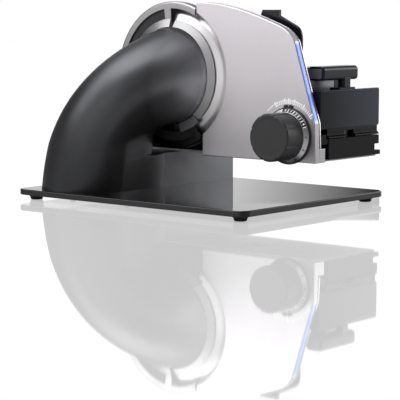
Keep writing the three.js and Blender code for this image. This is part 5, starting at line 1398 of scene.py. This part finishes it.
def lay_on_cone(bm, degrees, lift):
    """Turns a flat mark so that it lies on the dial's cone at an angle, its top outwards."""
    slope_out = Vector((math.cos(CONE_SLOPE), 0, math.sin(CONE_SLOPE)))
    across = Vector((0, -1, 0))
    outwards = across.cross(slope_out)
    lay = Matrix((across, slope_out, outwards)).transposed()
    bmesh.ops.transform(bm, matrix=lay.to_4x4(), verts=bm.verts)
    bmesh.ops.translate(bm, vec=CONE_MIDDLE + outwards * PRINT * lift, verts=bm.verts)
    return placed(bm, math.radians(90 - degrees), KNOB_PLACE)


def on_cone(share, lift):
    """A (radius, place) on the cone between its front and its rim, lifted off by a distance."""
    radius = KNOB_RADIUS + (SCALE_RADIUS - KNOB_RADIUS) * share + lift * math.cos(CONE_SLOPE)
    place = CONE_FRONT + (CONE_END - CONE_FRONT) * share - lift * math.sin(CONE_SLOPE)
    return radius, place, 0


def thickness_mark(number, lift):
    return lay_on_cone(number_mesh(str(number)), POINTER - DEGREES_PER_MM * number, lift)


inner, outer = BAND_EDGES
band_profile = [on_cone(inner, -0.3), on_cone(outer, -0.3)]
band_profile += [on_cone(outer, PRINT), on_cone(inner, PRINT)]
band_start = POINTER - DEGREES_PER_MM * BAND_MARGIN
band_end = POINTER + DEGREES_PER_MM * (FINE_NUMBERS[-1] + BAND_MARGIN)
band = swept(KNOB_AXIS, band_profile, band_start, band_end, 48)
add_piece("dial_band", band, dark_print, "scale_ring", False)
halves = []
for number in FINE_NUMBERS:
    bar = block((-0.5, -2.0, -PRINT / 2), (0.5, 2.0, PRINT / 2), 2, 0, 0)
    halves.append(lay_on_cone(bar, POINTER - DEGREES_PER_MM * (number + 0.5), ON_BAND))
fine = gathered([thickness_mark(number, ON_BAND) for number in FINE_NUMBERS] + halves)
add_piece("dial_fine_numbers", fine, glowing_white_print, "scale_ring", False)
coarse = gathered([thickness_mark(number, ON_METAL) for number in COARSE_NUMBERS])
add_piece("dial_coarse_numbers", coarse, dark_print, "scale_ring", False)
print("dial numbers", FINE_NUMBERS + COARSE_NUMBERS)

# %% [markdown]
# The carriage's front is a polished wall with an apron below it and a short return along the stop
# plate. The apron lies back a little under the wall, slopes out again and ends in a narrow upright
# edge just above the beam. A notch in it lets the carriage pass over the slide track.

# %% Carriage front
wall_low, wall_high = corners("carriage_wall")
WALL_BOTTOM = DECK + 84
APRON_START = 157.0
APRON_SET = 2.8
APRON_EDGE = 1.2
APRON_SLOPE = 2.6
RETURN_WIDTH = 2.4
RETURN_END = 22.0
NOTCH_HALF = 9.8
apron_points = [
    Vector((wall_high.y, wall_low.z)),
    Vector((wall_low.y, wall_low.z)),
    Vector((wall_low.y, wall_low.z + APRON_EDGE)),
    Vector((wall_low.y + APRON_SET, wall_low.z + APRON_EDGE + APRON_SLOPE)),
    Vector((wall_low.y + APRON_SET, WALL_BOTTOM + 2)),
    Vector((wall_high.y, WALL_BOTTOM + 2)),
]
apron = pulled_outline(apron_points, APRON_START, wall_high.x - APRON_START, 0)
soften(apron, 0.3, 2)
wall = block((wall_low.x, wall_low.y, WALL_BOTTOM), wall_high, 1, 2.5, 1.1)
track_middle = middle("slide_track").x
notch_low = (track_middle - NOTCH_HALF, wall_low.y - 5, wall_low.z - 5)
notch_high = (track_middle + NOTCH_HALF, wall_high.y + 5, WALL_BOTTOM - 3)
notch = block(notch_low, notch_high, 1, 1.0, 0)
return_low = (wall_low.x, wall_low.y + 2, WALL_BOTTOM)
return_high = (wall_low.x + RETURN_WIDTH, RETURN_END, wall_high.z - 0.6)
side_return = block(return_low, return_high, 2, 0, 0.4)
front = cut(joined(wall, apron, side_return), notch)
add_piece("carriage_front", front, painted_shade_black, "carriage_wall")
print("carriage front is", round(wall_high.x - wall_low.x), "mm wide")

# %% [markdown]
# The pusher's handle is a moulded grip above the carriage wall, a bridge behind it that reaches
# the pusher sheet, a thin panel below the bridge, a neck between the two and a stem down to the
# guide bar. Each is a rounded block, and they are joined into one moulding.

# %% Pusher handle
handle_low, handle_high = corners("pusher_handle")
GRIP_START, GRIP_END = 154.0, handle_high.x
GRIP_FRONT, GRIP_BACK = handle_low.y, handle_low.y + 24
GRIP_BOTTOM, GRIP_TOP = handle_high.z - 17, handle_high.z
BRIDGE_START = handle_low.x
BRIDGE_END = 202.0
SKIRT_END = 225.0
BRIDGE_FRONT = 29.0
BRIDGE_BACK = handle_high.y
SKIRT_BACK = 33.0
STEM = Vector((203, 7.3))
STEM_HALF = Vector((8, 5))
STEM_BOTTOM = DECK + 132.3

grip = block((GRIP_START, GRIP_FRONT, GRIP_BOTTOM), (GRIP_END, GRIP_BACK, GRIP_TOP), 0, 5, 2.0, 4)
bridge_low = (BRIDGE_START, BRIDGE_FRONT, GRIP_BOTTOM - 1)
bridge = block(bridge_low, (BRIDGE_END, BRIDGE_BACK, GRIP_TOP - 2), 0, 4, 1.0)
skirt_low = (BRIDGE_START, BRIDGE_FRONT, handle_low.z)
skirt = block(skirt_low, (SKIRT_END, SKIRT_BACK, GRIP_BOTTOM + 2), 0, 0, 0.6)
neck_low = (BRIDGE_END - 16, GRIP_BACK - 4, GRIP_BOTTOM + 3)
neck = block(neck_low, (BRIDGE_END - 3, SKIRT_BACK, GRIP_TOP - 5), 0, 0, 0.8)
stem_low = (STEM.x - STEM_HALF.x, STEM.y - STEM_HALF.y, STEM_BOTTOM)
stem_high = (STEM.x + STEM_HALF.x, STEM.y + STEM_HALF.y, GRIP_BOTTOM + 3)
stem = block(stem_low, stem_high, 2, 3, 0.3)
add_piece("pusher_grip", joined(grip, bridge, skirt, neck, stem), gloss_black, "pusher_handle")
cap_low = (GRIP_START - 0.5, GRIP_FRONT + 3.4, GRIP_BOTTOM + 2.2)
cap_high = (GRIP_START + 1.0, GRIP_BACK - 1.6, GRIP_TOP - 3.2)
end_cap = block(cap_low, cap_high, 0, 2.0, 0.4)
add_piece("grip_end_cap", end_cap, grey_plastic, "pusher_handle", False)
facing_low = (BRIDGE_START + 1, BRIDGE_FRONT - 0.4, handle_low.z + 1)
facing_high = (STEM.x + STEM_HALF.x, BRIDGE_FRONT + 0.6, GRIP_BOTTOM)
facing = block(facing_low, facing_high, 1, 0.6, 0.2)
add_piece("skirt_facing", facing, pale_grey, "pusher_handle", False)
print("handle is", round(GRIP_END - GRIP_START), "mm long")

# %% [markdown]
# The switch and the cord inlet sit in the far flank of the foot. The switch is a round push
# button in a bezel, with a dished face, and the inlet is a rubber bush with a lip.

# %% Switch and inlet
bezel_low, bezel_high = corners("switch_bezel")
button_low, button_high = corners("power_button")
inlet_low, inlet_high = corners("cord_inlet")
BEZEL_RADIUS = (bezel_high.x - bezel_low.x) / 2
FLANK = bezel_high.y - 2.5
bezel = turned("y", middle("switch_bezel"), [
    (8.4, bezel_low.y, 0), (9.6, bezel_low.y, 0), (9.6, FLANK, 0), (BEZEL_RADIUS, FLANK, 0.2),
    (BEZEL_RADIUS, bezel_high.y, 1.2), (8.4, bezel_high.y, 0.5),
], 96)
add_piece("switch_surround", bezel, dark_plastic, "switch_bezel")
button = turned("y", middle("power_button"), [
    (0, button_low.y, 0), (8.0, button_low.y, 0), (8.0, button_high.y, 1.0),
    (6.2, button_high.y - 0.1, 0.5), (3.0, button_high.y - 0.9, 1.0), (0, button_high.y - 1.0, 0),
], 96)
add_piece("push_button", button, bright_steel, "power_button")
inlet = turned("y", middle("cord_inlet"), [
    (4.0, inlet_low.y, 0), (6.4, inlet_low.y, 0.4), (6.4, inlet_high.y - 3.3, 0),
    (10.0, inlet_high.y - 3.3, 0.3), (10.0, inlet_high.y - 1.4, 0.8), (7.4, inlet_high.y, 0.8),
    (4.0, inlet_high.y, 0.9),
], 72)
add_piece("inlet_bush", inlet, rubber, "cord_inlet")
print("switch and inlet turned")

# %% [markdown]
# Rods and shafts are turned again with small chamfers, because their ends show between the stop
# plate and the beam. The rest of the drive stays inside the casting: it keeps the frame's own
# meshes and gets a finish that suits each piece.

# %% Rods, shafts and inner pieces
CHAMFER = 0.6
RODS = {
    "slide_rod_1": "guide_rod_1",
    "slide_rod_2": "guide_rod_2",
    "drive_shaft": "blade_shaft",
}
for name, node in RODS.items():
    low, high = corners(node)
    radius = (high.z - low.z) / 2
    points = [(0, low.x, 0), (radius, low.x, CHAMFER), (radius, high.x, CHAMFER), (0, high.x, 0)]
    add_piece(name, turned("x", middle(node), points, 40), bright_steel, node)

INNER_FINISHES = {
    aluminium: ["head_plate", "gear_plate", "motor_can"],
    bright_steel: [
        "front_bearing", "rear_bearing", "motor_shaft", "bush_clip", "spindle",
        "rail_screw_1", "rail_screw_2",
    ],
    nylon: ["drive_gear"],
    brass: ["knob_bush"],
    board_green: ["power_board", "light_board"],
    dark_plastic: ["switch_body"],
}
for material, nodes in INNER_FINISHES.items():
    for node in nodes:
        mesh = frame["nodes"][node].data
        mesh.materials.clear()
        mesh.materials.append(material)
print(sum(len(nodes) for nodes in INNER_FINISHES.values()), "inner pieces finished")
